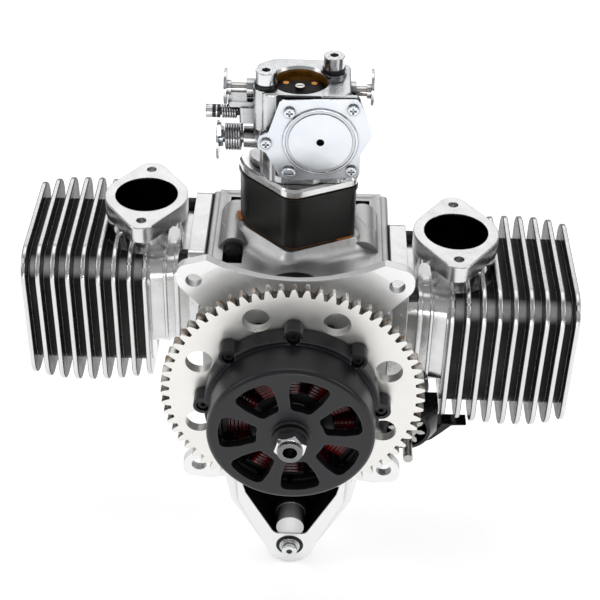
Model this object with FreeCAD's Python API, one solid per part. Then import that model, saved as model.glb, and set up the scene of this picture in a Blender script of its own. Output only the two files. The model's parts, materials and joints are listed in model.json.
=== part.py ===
# Flat-twin two-stroke aircraft engine, built as separate pieces.
# Millimetres, +Z up.  Origin: on the crankshaft axis, at the face of the four-ear mount plate.
# +Y runs along the crankshaft from the generator end towards the propeller hub; +X is to the right
# when looking along +Y.
import FreeCAD, Part
import os, math
from FreeCAD import Vector as V

os.makedirs("parts", exist_ok=True)

# ------------------------------------------------------------------ driving dimensions
MOUNT_X, MOUNT_Z = 98.0, 120.4        # four-hole mount pattern
EAR_R, EAR_HOLE_R = 9.0, 3.9
PLATE_T = 5.0
Y_R, Y_L = 56.0, 82.0                 # cylinder axes along the crankshaft (right, left)
Y_MID = 0.5 * (Y_R + Y_L)             # plane where the crankcase halves meet
CASE_X = 48.0                         # crankcase face that carries a cylinder
CASE_Y0, CASE_Y1 = 22.0, 114.0
CASE_TOP = 40.0
BORE_R = 26.0
STROKE = 36.0
THROW = STROKE / 2
ROD_L = 70.0
PIN_X = THROW + ROD_L                 # gudgeon pin at top dead centre
FIN_X0, FIN_PITCH, FIN_T, N_FIN = 79.0, 7.87, 2.7, 9
FIN_SCALE = [0.93, 0.955, 0.978, 0.99, 1.0, 1.0, 0.995, 0.975, 0.94]
FLANGE_X = 81.0                       # exhaust flange centre from the crank plane
FLANGE_Z = 56.0
EXH_R, EXH_BOLT = 16.5, 50.0
EXH_STEP = 30.0                       # height where the exhaust socket ends on its shoulder
GEAR_TEETH, GEAR_M = 64, 2.0
GEAR_Y0, GEAR_Y1 = -13.0, -7.5
PINION_TEETH = 8
PINION_C = (60.2, -39.8)              # starter axis, 72.17 mm from the crankshaft
PINION_Y0, PINION_W, PINION_TRAVEL = 9.5, 8.0, 21.5
ROTOR_R, ROTOR_FACE = 41.0, -43.0
N_LUG = 8
RIDGE_X, RIDGE_Z = 33.5, 39.5        # bolt ridges on top of the case
PLUG_X = 120.0                        # spark plugs, entering the heads from behind
BLOCK_A, BLOCK_B, BLOCK_R, BLOCK_ROT = 48.0, 44.0, 8.0, 26.0
BLOCK_C = (-0.5, 69.0)
BLOCK_Z0, BLOCK_Z1 = 50.0, 79.5
BLOCK = [(-31.9, 78.6), (-28.2, 66.5), (-4.3, 42.6), (30.7, 59.7), (11.5, 99.3)]   # outline of the block, one corner cut off
BLOCK_RAD = [5, 16, 9, 5, 8]
CARB_C = (-1.0, 68.0)
CARB_Z0, CARB_Z1 = 85.0, 134.0
THROAT_R = 13.0
CHOKE_Z, THR_Z = 128.7, 101.0
TIP_Z, TIP_R = -119.4, 13.2           # lower mount arm

# ------------------------------------------------------------------ helpers
def save(name, shape):
    if isinstance(shape, (list, tuple)):
        shape = shape[0] if len(shape) == 1 else Part.makeCompound(list(shape))
    for i, s in enumerate(shape.Solids):
        if not s.isValid() or s.Volume <= 0:
            print("BAD", name, i, s.isValid(), s.Volume)
    if len(name) >= 60 or not shape.Solids:
        print("BAD name or empty", name)
    shape.exportStep("parts/%s.step" % name)
    b = shape.BoundBox
    print("%-26s n=%-3d vol=%9.0f  x[%.1f %.1f] y[%.1f %.1f] z[%.1f %.1f]" % (
        name, len(shape.Solids), shape.Volume, b.XMin, b.XMax, b.YMin, b.YMax, b.ZMin, b.ZMax))

def cylY(x, z, r, y0, y1):
    return Part.makeCylinder(r, y1 - y0, V(x, y0, z), V(0, 1, 0))

def cylX(y, z, r, x0, x1):
    if x1 < x0:
        x0, x1 = x1, x0
    return Part.makeCylinder(r, x1 - x0, V(x0, y, z), V(1, 0, 0))

def cylZ(x, y, r, z0, z1):
    return Part.makeCylinder(r, z1 - z0, V(x, y, z0), V(0, 0, 1))

def box(x0, x1, y0, y1, z0, z1):
    return Part.makeBox(x1 - x0, y1 - y0, z1 - z0, V(x0, y0, z0))

def ringY(x, z, ro, ri, y0, y1):
    return cylY(x, z, ro, y0, y1).cut(cylY(x, z, ri, y0 - 1, y1 + 1))

def fuse(*s):
    r = s[0].fuse(list(s[1:])) if len(s) > 1 else s[0]
    return r.removeSplitter()

def cut(a, *b):
    return a.cut(list(b)) if b else a

def to3(plane, off, u, v):
    if plane == "Y":
        return V(u, off, v)
    if plane == "X":
        return V(off, u, v)
    return V(u, v, off)

def rwire(pts, r, plane, off):
    """closed wire round a polygon, each corner rounded with r (one value or one per corner)"""
    n = len(pts)
    rs = r if isinstance(r, (list, tuple)) else [r] * n
    P = [V(p[0], p[1], 0) for p in pts]
    ends = []
    for i in range(n):
        a, b, c = P[i - 1], P[i], P[(i + 1) % n]
        d1, d2 = (a - b), (c - b)
        l1, l2 = d1.Length, d2.Length
        d1.normalize(); d2.normalize()
        ang = math.acos(max(-1, min(1, d1.dot(d2))))
        if rs[i] <= 0 or ang > math.pi - 0.02:
            ends.append((b, b, None)); continue
        t = rs[i] / math.tan(ang / 2)
        t = min(t, 0.47 * l1, 0.47 * l2)
        rr = t * math.tan(ang / 2)
        bis = d1 + d2
        bis.normalize()
        ctr = b + bis * (rr / math.sin(ang / 2))
        mid = ctr - bis * rr
        ends.append((b + d1 * t, b + d2 * t, mid))
    edges = []
    for i in range(n):
        s, e, m = ends[i]
        if m is not None:
            edges.append(Part.Arc(to3(plane, off, s.x, s.y), to3(plane, off, m.x, m.y),
                                  to3(plane, off, e.x, e.y)).toShape())
        nx = ends[(i + 1) % n][0]
        if (nx - e).Length > 1e-5:
            edges.append(Part.LineSegment(to3(plane, off, e.x, e.y), to3(plane, off, nx.x, nx.y)).toShape())
    return Part.Wire(Part.__sortEdges__(edges))

def prism(pts, r, plane, o0, o1):
    f = Part.Face(rwire(pts, r, plane, o0))
    d = o1 - o0
    vec = {"X": V(d, 0, 0), "Y": V(0, d, 0), "Z": V(0, 0, d)}[plane]
    return f.extrude(vec)

def rect(cx, cy, hx, hy, rot=0.0):
    c, s = math.cos(math.radians(rot)), math.sin(math.radians(rot))
    return [(cx + a * c - b * s, cy + a * s + b * c) for a, b in
            ((-hx, -hy), (hx, -hy), (hx, hy), (-hx, hy))]

def grow(pts, d):
    """convex counter-clockwise polygon with its sides moved out by d"""
    n, out = len(pts), []
    for i in range(n):
        (ax, ay), (bx, by), (cx_, cy_) = pts[i - 1], pts[i], pts[(i + 1) % n]
        l1, l2 = math.hypot(bx - ax, by - ay), math.hypot(cx_ - bx, cy_ - by)
        n1, n2 = ((by - ay) / l1, -(bx - ax) / l1), ((cy_ - by) / l2, -(cx_ - bx) / l2)
        k = d / (1 + n1[0] * n2[0] + n1[1] * n2[1])
        out.append((bx + (n1[0] + n2[0]) * k, by + (n1[1] + n2[1]) * k))
    return out

def outside(pts, x, y):
    """distance from a convex counter-clockwise polygon, negative inside"""
    best, inside = 1e9, True
    far = -1e9
    for i in range(len(pts)):
        (ax, ay), (bx, by) = pts[i - 1], pts[i]
        l = math.hypot(bx - ax, by - ay)
        ux, uy = (bx - ax) / l, (by - ay) / l
        side = (x - ax) * uy - (y - ay) * ux
        t = max(0, min(l, (x - ax) * ux + (y - ay) * uy))
        best = min(best, math.hypot(x - ax - ux * t, y - ay - uy * t))
        far = max(far, side)
    return best if far > 0 else far

def mirror_x(s):
    return s.mirror(V(0, 0, 0), V(1, 0, 0))

def rim(shape, r, test, chamfer=False):
    """round (or bevel) the edges that test() accepts, keeping the shape as it was if it can't be done"""
    es = [e for e in shape.Edges if test(e)]
    if not es:
        return shape
    try:
        out = shape.makeChamfer(r, es) if chamfer else shape.makeFillet(r, es)
        if out.isValid() and out.Volume > 0:
            return out
    except Exception:
        pass
    print("  edge finish left plain", r, len(es))
    return shape

def at(e, **k):
    c = e.BoundBox
    lo = {"x": c.XMin, "y": c.YMin, "z": c.ZMin}
    hi = {"x": c.XMax, "y": c.YMax, "z": c.ZMax}
    return all(abs(lo[a] - v) < 0.02 and abs(hi[a] - v) < 0.02 for a, v in k.items())

def hexY(x, z, af, y0, y1, rot=0.0):
    R = af / math.sqrt(3)
    pts = [(x + R * math.cos(math.radians(rot + 60 * i)), z + R * math.sin(math.radians(rot + 60 * i))) for i in range(6)]
    return prism(pts, 0, "Y", y0, y1)

def socket_screw(p, d, r, length, head_r, head_h, sock_af):
    """cap screw: p is under the head, d points from the head to the tip"""
    d = V(*d)
    h = Part.makeCylinder(head_r, head_h, V(*p), d * -1)
    h = rim(h, 0.35, lambda e: e.Length > 2 * math.pi * head_r * 0.99 and (e.BoundBox.Center - V(*p)).Length > head_h * 0.9, True)
    s = Part.makeCylinder(r, length, V(*p), d)
    out = h.fuse(s)
    k = Part.makeCylinder(sock_af * 0.56, head_h * 0.6, V(*p) + d * (-head_h - 0.01), d)
    # hexagon socket
    a = V(1, 0, 0) if abs(d.x) < 0.9 else V(0, 1, 0)
    u = d.cross(a); u.normalize(); w = d.cross(u)
    R = sock_af / math.sqrt(3)
    top = V(*p) - d * (head_h + 0.01)
    pts = [top + u * (R * math.cos(math.radians(60 * i))) + w * (R * math.sin(math.radians(60 * i))) for i in range(6)]
    hexa = Part.Face(Part.makePolygon(pts + [pts[0]])).extrude(d * (head_h * 0.55))
    return out.cut(hexa)

def gear(z, m, y0, y1, cx, cz, phase, ri=0.0, add=1.0, ded=1.2, thin=0.10):
    """spur gear with straight-flanked trapezoid teeth close to the involute; phase = angle of a tooth's centre"""
    rp = m * z / 2
    ra, rf = rp + add * m * 0.98, rp - ded * m
    half = math.pi / (2 * z) - thin / (2 * rp)          # half tooth angle at the pitch circle
    al = math.radians(20)
    def tw(r):
        rb = rp * math.cos(al)
        inv = lambda x: math.tan(x) - x
        if r < rb:
            r = rb
        ar = math.acos(min(1, rb / r))
        return max(0.08 * m / r, half + inv(al) - inv(ar))
    pts = []
    rad = [rf, rp - 0.62 * m if rp - 0.62 * m > rp * math.cos(al) * 0.98 else rp * math.cos(al), rp, rp + 0.55 * m, ra]
    for i in range(z):
        a0 = phase + 2 * math.pi * i / z
        left = [(r, a0 - tw(r)) for r in rad]
        right = [(r, a0 + tw(r)) for r in reversed(rad)]
        pts += left + right
    P = [V(cx + r * math.cos(a), y0, cz + r * math.sin(a)) for r, a in pts]
    g = Part.Face(Part.makePolygon(P + [P[0]])).extrude(V(0, y1 - y0, 0))
    if ri:
        g = g.cut(cylY(cx, cz, ri, y0 - 1, y1 + 1))
    return g

def polar(k, n, r, a0=90.0):
    a = math.radians(a0 + 360.0 * k / n)
    return r * math.cos(a), r * math.sin(a)

# ================================================================== mount plate
ex, ez = MOUNT_X / 2, MOUNT_Z / 2
def hull2(x0, z0, r0, x1, z1, r1, y0, y1):
    """prism of two circles and their outer tangents, in the X-Z plane"""
    d = math.hypot(x1 - x0, z1 - z0)
    th = math.atan2(z1 - z0, x1 - x0)
    ph = math.acos((r0 - r1) / d)
    P = [(x0 + r0 * math.cos(th + ph), z0 + r0 * math.sin(th + ph)),
         (x1 + r1 * math.cos(th + ph), z1 + r1 * math.sin(th + ph)),
         (x1 + r1 * math.cos(th - ph), z1 + r1 * math.sin(th - ph)),
         (x0 + r0 * math.cos(th - ph), z0 + r0 * math.sin(th - ph))]
    return fuse(prism(P, 0, "Y", y0, y1), cylY(x0, z0, r0, y0, y1), cylY(x1, z1, r1, y0, y1))

# outline: ears joined by deep concave arcs on top, straight sides drawn in behind the ring gear
def arc_pts(x0, z0, x1, z1, sag, n, horizontal):
    pts = []
    for i in range(n + 1):
        t = i / n
        x, z = x0 + (x1 - x0) * t, z0 + (z1 - z0) * t
        s = sag * 4 * t * (1 - t)
        pts.append((x, z - s) if horizontal else (x - s, z))
    return pts

top = arc_pts(ex - 6, ez + 12.4, -ex + 6, ez + 12.4, 12.2, 10, True)
left = [(-ex - 8.2, ez + 8), (-ex - 8.6, ez - 2), (-39.5, 36), (-39.5, -36), (-ex - 8.6, -ez + 2), (-ex - 8.2, -ez - 7.5)]
bottom = [(-ex + 5, -ez - 9.3), (-36, -ez - 8.0), (36, -ez - 8.0), (ex - 5, -ez - 9.3)]
right = [(-x, z) for x, z in reversed(left)]
outline = top + left + bottom + right
rad = [2.0] + [40.0] * 9 + [2.0] + [6.5, 8, 14, 14, 8, 6.5] + [6.5, 1, 1, 6.5] + [6.5, 8, 14, 14, 8, 6.5]
plate = prism(outline, rad, "Y", 0, PLATE_T)
arm_out = [(-37, -62), (37, -62), (34.8, -72), (32.5, -86), (13.2, -122), (-13.2, -122), (-32.5, -86), (-34.8, -72)]
arm = prism(arm_out, [2, 2, 4, 6, 3, 3, 6, 4], "Y", 2.0, 21.0)
arm_face = prism([(-29.5, -62), (29.5, -62), (28.5, -86), (13.0, -121), (-13.0, -121), (-28.5, -86)], [1, 1, 6, 3, 3, 6], "Y", 0.0, 3.0)
tip = cylY(0, TIP_Z, TIP_R, 0, 21)
plate = fuse(plate, arm, arm_face, tip)
pocket = prism([(-26.8, -70), (26.8, -70), (24.5, -80), (8.6, -110.5), (-8.6, -110.5), (-24.5, -80)], [3, 3, 4, 4, 4, 4], "Y", -1, 22)
plate = cut(plate, pocket, cylY(0, TIP_Z, 7.5, -1, 30), cylY(0, 0, 30.0, -1, 10))
# shallow dish around the crankshaft axis
dish = Part.makeCone(46.0, 78.0, 3.2, V(0, 3.2, 0), V(0, -1, 0))
dish = cut(dish, box(-80, 80, -2, 8, -90, -52))
plate = cut(plate, dish)
for sx in (-1, 1):
    for sz in (-1, 1):
        plate = cut(plate, cylY(sx * ex, sz * ez, EAR_HOLE_R, -1, 10))
# six countersunk holes to the crankcase neck
neck_holes = [polar(k, 6, 34.5, 60) for k in range(6)]
for x, z in neck_holes:
    plate = cut(plate, cylY(x, z, 2.25, -1, 10))
# stepped boss standing in the arm's pocket, above the screw
rib = fuse(cylY(0, -106.0, 7.6, 0.6, 12.0), cylY(0, -105.0, 9.2, 12.0, 21.0))
rib = cut(rib, cylY(0, TIP_Z, 7.5, -1, 22), prism([(-40, -112), (40, -112), (40, -140), (-40, -140)], 0, "Y", -1, 23))
plate = fuse(plate, rib)
save("mount_plate", plate)
save("mount_plate_screws", [socket_screw((x, 3.2, z), (0, 1, 0), 2.2, 12, 3.6, 2.6, 2.6) for x, z in neck_holes])

# lower mount arm: isolator bush, sleeve, screw and the spacer behind it
save("lower_isolator", ringY(0, TIP_Z, 7.5, 5.6, 0.2, 20.8))
sleeve = ringY(0, TIP_Z, 5.6, 3.05, -0.8, 21.0)
lw = ringY(0, TIP_Z, 4.9, 3.05, -1.8, -0.8)
save("lower_bolt", [socket_screw((0, -1.8, TIP_Z), (0, 1, 0), 3.0, 34, 4.2, 3.2, 3.2), lw, sleeve])
back = prism([(-33, -60), (33, -60), (30.5, -85), (12, -119), (-12, -119), (-30.5, -85)], [2, 2, 6, 6, 6, 6], "Y", 21.0, 25.0)
back = cut(back, cylY(0, TIP_Z, 12.6, 20, 26), cylY(0, 0, 58.0, 20, 26))
foot = fuse(back, cylY(0, TIP_Z, 9.6, 21.0, 34.0), box(-9, 9, 21.0, 34, TIP_Z, -100))
foot = cut(foot, cylY(0, TIP_Z, 3.05, 20, 36))
save("lower_arm_back", foot)
# ================================================================== crankcase
prof = [(-CASE_X, CASE_TOP), (CASE_X, CASE_TOP), (CASE_X, -24), (35, -42), (-35, -42), (-CASE_X, -24)]
case = prism(prof, [2.5, 2.5, 3, 6, 6, 3], "Y", CASE_Y0 + 3, CASE_Y1 - 2)
case = cut(case, prism([(-26, CASE_TOP - 3), (-22, CASE_TOP + 3), (22, CASE_TOP + 3), (26, CASE_TOP - 3)], 0, "Y", CASE_Y1 - 12, CASE_Y1))
# corner arms that reach forward to the mount plate
wing = prism([(33, 24), (CASE_X, 24), (CASE_X, CASE_TOP), (36, CASE_TOP)], [3, 2, 2.5, 3], "Y", PLATE_T, CASE_Y0 + 4)
wing = fuse(wing, mirror_x(wing))
low = prism([(24, -24), (40, -24), (40, -34), (24, -40)], 3, "Y", PLATE_T, CASE_Y0 + 4)
low = fuse(low, mirror_x(low))
neck = cylY(0, 0, 39.0, PLATE_T, CASE_Y0 + 4)
nose = fuse(Part.makeCone(38, 30, 8, V(0, CASE_Y1 - 3, 0), V(0, 1, 0)), cylY(0, 0, 30, CASE_Y1 + 4, 131))
nose = rim(nose, 1.5, lambda e: at(e, y=131) and e.Length > 150)
# two bolt ridges along the top
ridge = []
for sx in (-1, 1):
    c = cylY(sx * RIDGE_X, RIDGE_Z, 8.2, 56, 94)
    c = rim(c, 2.4, lambda e: at(e, y=94))
    skirt = prism([(sx * RIDGE_X - 9.5, 36), (sx * RIDGE_X + 9.5, 36), (sx * RIDGE_X + 7.8, 42.6), (sx * RIDGE_X - 7.8, 42.6)], 1.5, "Y", 57, 93)
    ridge += [c, skirt]
# cast top: the intake pedestal flares out into the case and runs forward to an arched front
def step(t):
    t = max(0.0, min(1.0, t))
    return t * t * (3 - 2 * t)
foot_line = grow(BLOCK, -3.2)
def top_height(x, y):
    edge = min(x + 43, 43 - x, y - 20, 111 - y)
    base = 38.2 + 3.0 * step(edge / 5.0)
    d = outside(foot_line, x, y) - 4.4
    t = max(0.0, min(1.0, d / 11.0))
    ped = 50.0 + min(1.6, max(0.0, -d)) - 9.2 * (1 - (1 - t) ** 2.5)
    arch = 22.2 + math.sqrt(max(0.0, 27.0 ** 2 - x * x)) - 4.6 * step((y - 23.5) / 13.0)
    k = 1.3
    return k * math.log(math.exp(base / k) + math.exp(ped / k) + math.exp(arch / k))
NX, NY = 45, 46
grid = [[V(-44 + 88.0 * i / (NX - 1), 21.5 + 91.0 * j / (NY - 1), 0) for j in range(NY)] for i in range(NX)]
grid = [[V(q.x, q.y, top_height(q.x, q.y)) for q in row] for row in grid]
skin = Part.BSplineSurface()
skin.interpolate(grid)
cast_top = skin.toShape().extrude(V(0, 0, -24))
arch = cylY(0, 22.5, 27.2, 17.5, 24)
arch = cut(arch, box(-40, 40, 10, 30, -20, 20))
case = case.fuse([wing, low, neck, nose, arch, cast_top] + ridge)
case = cut(case, prism(rect(*BLOCK_C, 40, 40, 0), 0, "Z", BLOCK_Z0 - 0.6, 70))
print("case", len(case.Solids), case.isValid())
arch_pocket = cut(cylY(0, 21.5, 24.4, 9, 26.5), box(-40, 40, 5, 30, -30, 39.2))
case = cut(case, arch_pocket)
# bores: crank chamber, bearing seats, cylinder openings, intake passage
MAIN_R = 23.5
chamber = cylY(0, 0, 36.0, 43, 95)
bores = [chamber, cylY(0, 0, MAIN_R, 24, 43.1), cylY(0, 0, 26.5, 0, 14), cylY(0, 0, 17.0, 0, 30),
         cylY(0, 0, MAIN_R, 94.9, 109), cylY(0, 0, 17.0, 100, 118), cylY(0, 0, 21.0, 117, 140),
         cylX(Y_R, 0, 27.0, 31.5, CASE_X + 5), cylX(Y_L, 0, 27.0, -31.5, -CASE_X - 5)]
pin_l = prism(rect(*BLOCK_C, 15.5, 13.5, BLOCK_ROT), 2, "Z", 20, 60)
bores.append(pin_l)
for x, z in neck_holes:
    bores.append(cylY(x, z, 2.2, 0, 16))
# cylinder screw holes
CYL_BOLTS = [(-25, 34), (25, 34), (-26.2, -16.6), (26.2, -16.6)]
for s, yc in ((1, Y_R), (-1, Y_L)):
    for dy, z in CYL_BOLTS:
        bores.append(cylX(yc + dy, z, 2.5, s * 36, s * (CASE_X + 2)))
# clamping screws through both halves
CASE_BOLTS = [(RIDGE_X, RIDGE_Z), (-RIDGE_X, RIDGE_Z), (37, -30), (-37, -30)]
for x, z in CASE_BOLTS:
    seat_y = 94 if z > 0 else 108
    bores.append(cylY(x, z, 2.5, 60, seat_y + 1))
    bores.append(cylY(x, z, 4.8 if z > 0 else 4.4, seat_y, seat_y + (10 if z > 0 else 17)))
blk_holes = []
for a, b in ((-12.9, -17.2), (18.5, -16.5), (18.5, 16.5), (-18.5, 16.5)):
    c, s = math.cos(math.radians(BLOCK_ROT)), math.sin(math.radians(BLOCK_ROT))
    blk_holes.append((BLOCK_C[0] + a * c - b * s, BLOCK_C[1] + a * s + b * c))
for x, y in blk_holes:
    bores.append(cylZ(x, y, 2.0, 40, 60))
bores += [cylY(-RIDGE_X, RIDGE_Z, 3.0, 50, 62), cylY(-RIDGE_X, RIDGE_Z, 5.6, 41.5, 56)]
case = cut(case, *bores)
# cradle that carries the starter's tube beside the front half
cr = fuse(cylY(PINION_C[0], PINION_C[1], 13.2, 44, 60), prism([(34, -38), (44, -28), (50, -31), (58, -31), (58, -52.6), (48, -50), (34, -41)], 1.0, "Y", 44, 60))
cr = cut(cr, cylY(PINION_C[0], PINION_C[1], 9.95, 40, 64), box(40, 90, 40, 64, -30.3, -10), box(20, 47, 40, 64, -28, -10))
case = fuse(case, cr)
case = cut(case, cylY(0, 0, 36.0, 43, 95), cylX(Y_R, 0, 27.0, 31.5, CASE_X + 5), cylY(37, -30, 2.5, 60, 109))
# halves meet at Y_MID; the intake pedestal stays whole on the front half
col = prism(grow(BLOCK, 9), 8, "Z", 36.4, 70)
rear_zone = cut(box(-200, 200, Y_MID, 200, -200, 200), col)
rear = case.common(rear_zone)
front = case.cut(rear_zone)
front = max(front.Solids, key=lambda s: s.Volume)
rear = max(rear.Solids, key=lambda s: s.Volume)
save("crankcase_front", front)
save("crankcase_rear", rear)
case_scr = [socket_screw((x, 94 if z > 0 else 108, z), (0, -1, 0), 2.45, 30 if z > 0 else 44, 4.2, 4.5, 3.6) for x, z in CASE_BOLTS]
plug = fuse(cylY(-RIDGE_X, RIDGE_Z, 5.3, 50.5, 55.9), cylY(-RIDGE_X, RIDGE_Z, 2.95, 55.9, 61), cylY(-RIDGE_X, RIDGE_Z, 4.1, 49.2, 50.5))
plug = rim(plug, 0.9, lambda e: at(e, y=49.2))
save("breather_cap", plug)

# ================================================================== cylinders
FIN = [(44, 44), (-44, 41.5), (-42.5, -44.5), (42.5, -44.5)]
FIN_RAD = [12, 16, 14, 14]
def cylinder(s, yc):
    def fx(x):
        return s * x
    parts = []
    # base flange, cast barrel, head
    fl = prism([(yc - 31, CASE_TOP), (yc + 31, CASE_TOP), (yc + 31, -18), (yc + 20, -29.5), (yc - 20, -29.5), (yc - 31, -18)],
               [4, 4, 5, 5, 5, 5], "X", fx(CASE_X + 0.5), fx(57))
    base = Part.makeLoft([rwire([(yc - 30, 33), (yc + 30, 33), (yc + 30, -14), (yc + 15, -29.5), (yc - 15, -29.5), (yc - 30, -14)], 10, "X", fx(56)),
                          rwire([(yc - 33, 34), (yc + 33, 34), (yc + 33, -16), (yc + 16, -29.6), (yc - 16, -29.6), (yc - 33, -16)], 12, "X", fx(78))], True)
    core = prism([(yc + a * 0.8, b * 0.8) for a, b in FIN], [12, 15, 14, 14], "X", fx(77), fx(141.5))
    core = rim(core, 2.0, lambda e: at(e, x=fx(141.5)))
    head = cylX(yc, 0, 18, fx(141), fx(143.2))
    # stiffening ribs round the barrel's foot
    for xr, wr, gr in ((62.0, 2.6, 1.2), (68.5, 1.8, 0.6)):
        parts.append(rim(prism([(yc - 32 - gr, 34 + gr), (yc + 32 + gr, 34 + gr), (yc + 32 + gr, -16), (yc + 16 + gr, -29.7), (yc - 16 - gr, -29.7), (yc - 32 - gr, -16)],
                         11, "X", fx(xr), fx(xr + wr)), 0.5, lambda e: e.BoundBox.XLength < 0.01))
    parts += [fl, base, core, head, cylX(yc, 0, 27.0, fx(40), fx(50))]
    for k in range(N_FIN):
        sc = FIN_SCALE[k]
        xk = FIN_X0 + FIN_PITCH * k
        f = prism([(yc + a * sc, b * sc) for a, b in FIN], [r_ * sc for r_ in FIN_RAD], "X", fx(xk - FIN_T / 2), fx(xk + FIN_T / 2))
        f = rim(f, 0.9, lambda e: e.BoundBox.XLength < 0.01)
        parts.append(f)
    # exhaust duct and two-bolt flange, bolts in line with the crankshaft
    cx = fx(FLANGE_X)
    d = EXH_BOLT / 2
    R0, R1 = 22.0, 7.6
    ph = math.acos((R0 - R1) / d)
    quad = [(cx + R0 * math.sin(ph), yc + R0 * math.cos(ph)), (cx + R1 * math.sin(ph), yc + d + R1 * math.cos(ph)),
            (cx - R1 * math.sin(ph), yc + d + R1 * math.cos(ph)), (cx - R0 * math.sin(ph), yc + R0 * math.cos(ph)),
            (cx - R0 * math.sin(ph), yc - R0 * math.cos(ph)), (cx - R1 * math.sin(ph), yc - d - R1 * math.cos(ph)),
            (cx + R1 * math.sin(ph), yc - d - R1 * math.cos(ph)), (cx + R0 * math.sin(ph), yc - R0 * math.cos(ph))]
    def diamond(z0, z1):
        return fuse(prism(quad, 0, "Z", z0, z1), cylZ(cx, yc, R0, z0, z1), cylZ(cx, yc + d, R1, z0, z1), cylZ(cx, yc - d, R1, z0, z1))
    fl2 = diamond(FLANGE_Z - 9.0, FLANGE_Z)
    fl2 = rim(fl2, 0.7, lambda e: at(e, z=FLANGE_Z))
    parts.append(fl2)
    parts.append(Part.makeCone(19.5, 21.8, 22, V(cx, yc, FLANGE_Z - 30.5), V(0, 0, 1)))
    web = prism([(fx(62), FLANGE_Z - 8.5), (fx(98), FLANGE_Z - 8.5), (fx(90), 26), (fx(60), 22)], 3, "Y", yc - 17, yc + 17)
    parts.append(web)
    body = fuse(*parts)
    # the port is a straight socket down to EXH_STEP and a slightly narrower window below it
    cuts = [cylX(yc, 0, BORE_R, fx(30), fx(114)), cylZ(cx, yc, EXH_R, EXH_STEP, FLANGE_Z + 1), cylZ(cx, yc, EXH_R - 1.2, 22, EXH_STEP + 1)]
    dome = Part.makeCone(BORE_R, 12, 5, V(fx(114), yc, 0), V(s, 0, 0))
    cuts += [dome, cylY(fx(PLUG_X), 0, 5.0, yc + 6, yc + 40), cylY(fx(PLUG_X), 0, 11.0, yc + 34, yc + 50)]
    for dy in (-d, d):
        cuts.append(cylZ(cx, yc + dy, 2.6, FLANGE_Z - 12, FLANGE_Z + 1))
    for dy, z in CYL_BOLTS:
        cuts.append(cylX(yc + dy, z, 2.6, fx(CASE_X - 1), fx(58)))
        cuts.append(cylX(yc + dy, z, 4.3, fx(57), fx(62)))
    body = cut(body, *cuts)
    body = max(body.Solids, key=lambda q: q.Volume)
    return body
for name, s, yc in (("cylinder_right", 1, Y_R), ("cylinder_left", -1, Y_L)):
    save(name, cylinder(s, yc))
gk = []
for s, yc in ((1, Y_R), (-1, Y_L)):
    g = prism([(yc - 31, CASE_TOP), (yc + 31, CASE_TOP), (yc + 31, -18), (yc + 20, -29.5), (yc - 20, -29.5), (yc - 31, -18)],
              [4, 4, 5, 5, 5, 5], "X", s * CASE_X, s * (CASE_X + 0.5))
    g = cut(g, cylX(yc, 0, 27.0, s * 40, s * 60))
    for dy, z in CYL_BOLTS:
        g = cut(g, cylX(yc + dy, z, 2.6, s * 40, s * 60))
    gk.append(g)
save("case_and_cylinder_screws", case_scr + [socket_screw((s * 57, yc + dy, z), (-s, 0, 0), 2.45, 20, 3.9, 4.6, 3.4)
                         for s, yc in ((1, Y_R), (-1, Y_L)) for dy, z in CYL_BOLTS])

# spark plugs, entering the heads from behind
sh, ins, ter = [], [], []
for s, yc in ((1, Y_R), (-1, Y_L)):
    px = s * PLUG_X
    b = cylY(px, 0, 4.95, yc + 20, yc + 34)
    R = 15.9 / math.sqrt(3)
    hx = prism([(px + R * math.cos(math.radians(60 * i)), R * math.sin(math.radians(60 * i))) for i in range(6)], 0, "Y", yc + 35.2, yc + 42)
    b = fuse(b, cylY(px, 0, 7.6, yc + 34, yc + 35.3), hx, cylY(px, 0, 6.6, yc + 42, yc + 44.5))
    b = cut(b, cylY(px, 0, 2.4, yc + 16, yc + 35), cylY(px, 0, 4.4, yc + 35, yc + 46))
    sh.append(b)
    i_ = fuse(cylY(px, 0, 4.4, yc + 35, yc + 46), Part.makeCone(4.3, 3.3, 9, V(px, yc + 46, 0), V(0, 1, 0)), cylY(px, 0, 2.0, yc + 21, yc + 35))
    ins.append(i_)
    t_ = fuse(cylY(px, 0, 2.0, yc + 55, yc + 59), cylY(px, 0, 3.0, yc + 56, yc + 58.4))
    ter.append(t_)
save("spark_plug_shells", sh + ter)
save("spark_plug_insulators", ins)

# ================================================================== crankshaft assembly
JR = 10.0
c1 = fuse(cylY(0, 0, JR, 0, 44), cylY(0, 0, 31.5, 44, 50.4), cylY(0, 0, 8.0, -43.6, 0), cylY(0, 0, 6.0, -54.3, -43.6))
c1 = cut(c1, cylY(0, 0, 3.6, -56, -44), cylY(THROW, 0, 6.0, 40, 60))
c1 = cut(c1, prism([(10, 22), (34, 22), (34, -22), (10, -22), (10, -16), (27, -10), (27, 10), (10, 16)], 0, "Y", 43, 50.3).common(cylY(0, 0, 60, 44.5, 50.3)))
mid = cylY(0, 0, 31.5, 61.6, 76.4)
mid = cut(mid, cylY(THROW, 0, 6.0, 60, 80), cylY(-THROW, 0, 6.0, 60, 80))
c3 = fuse(cylY(0, 0, 31.5, 87.6, 94), cylY(0, 0, JR, 94, 148), cylY(0, 0, 6.0, 148, 152))
c3 = cut(c3, cylY(-THROW, 0, 6.0, 86, 96), cylY(0, 0, 2.6, 138, 154))
save("crankshaft", [c1, mid, c3, cylY(THROW, 0, 6.0, 44.2, 67.5), cylY(-THROW, 0, 6.0, 70.5, 93.8)])

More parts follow.
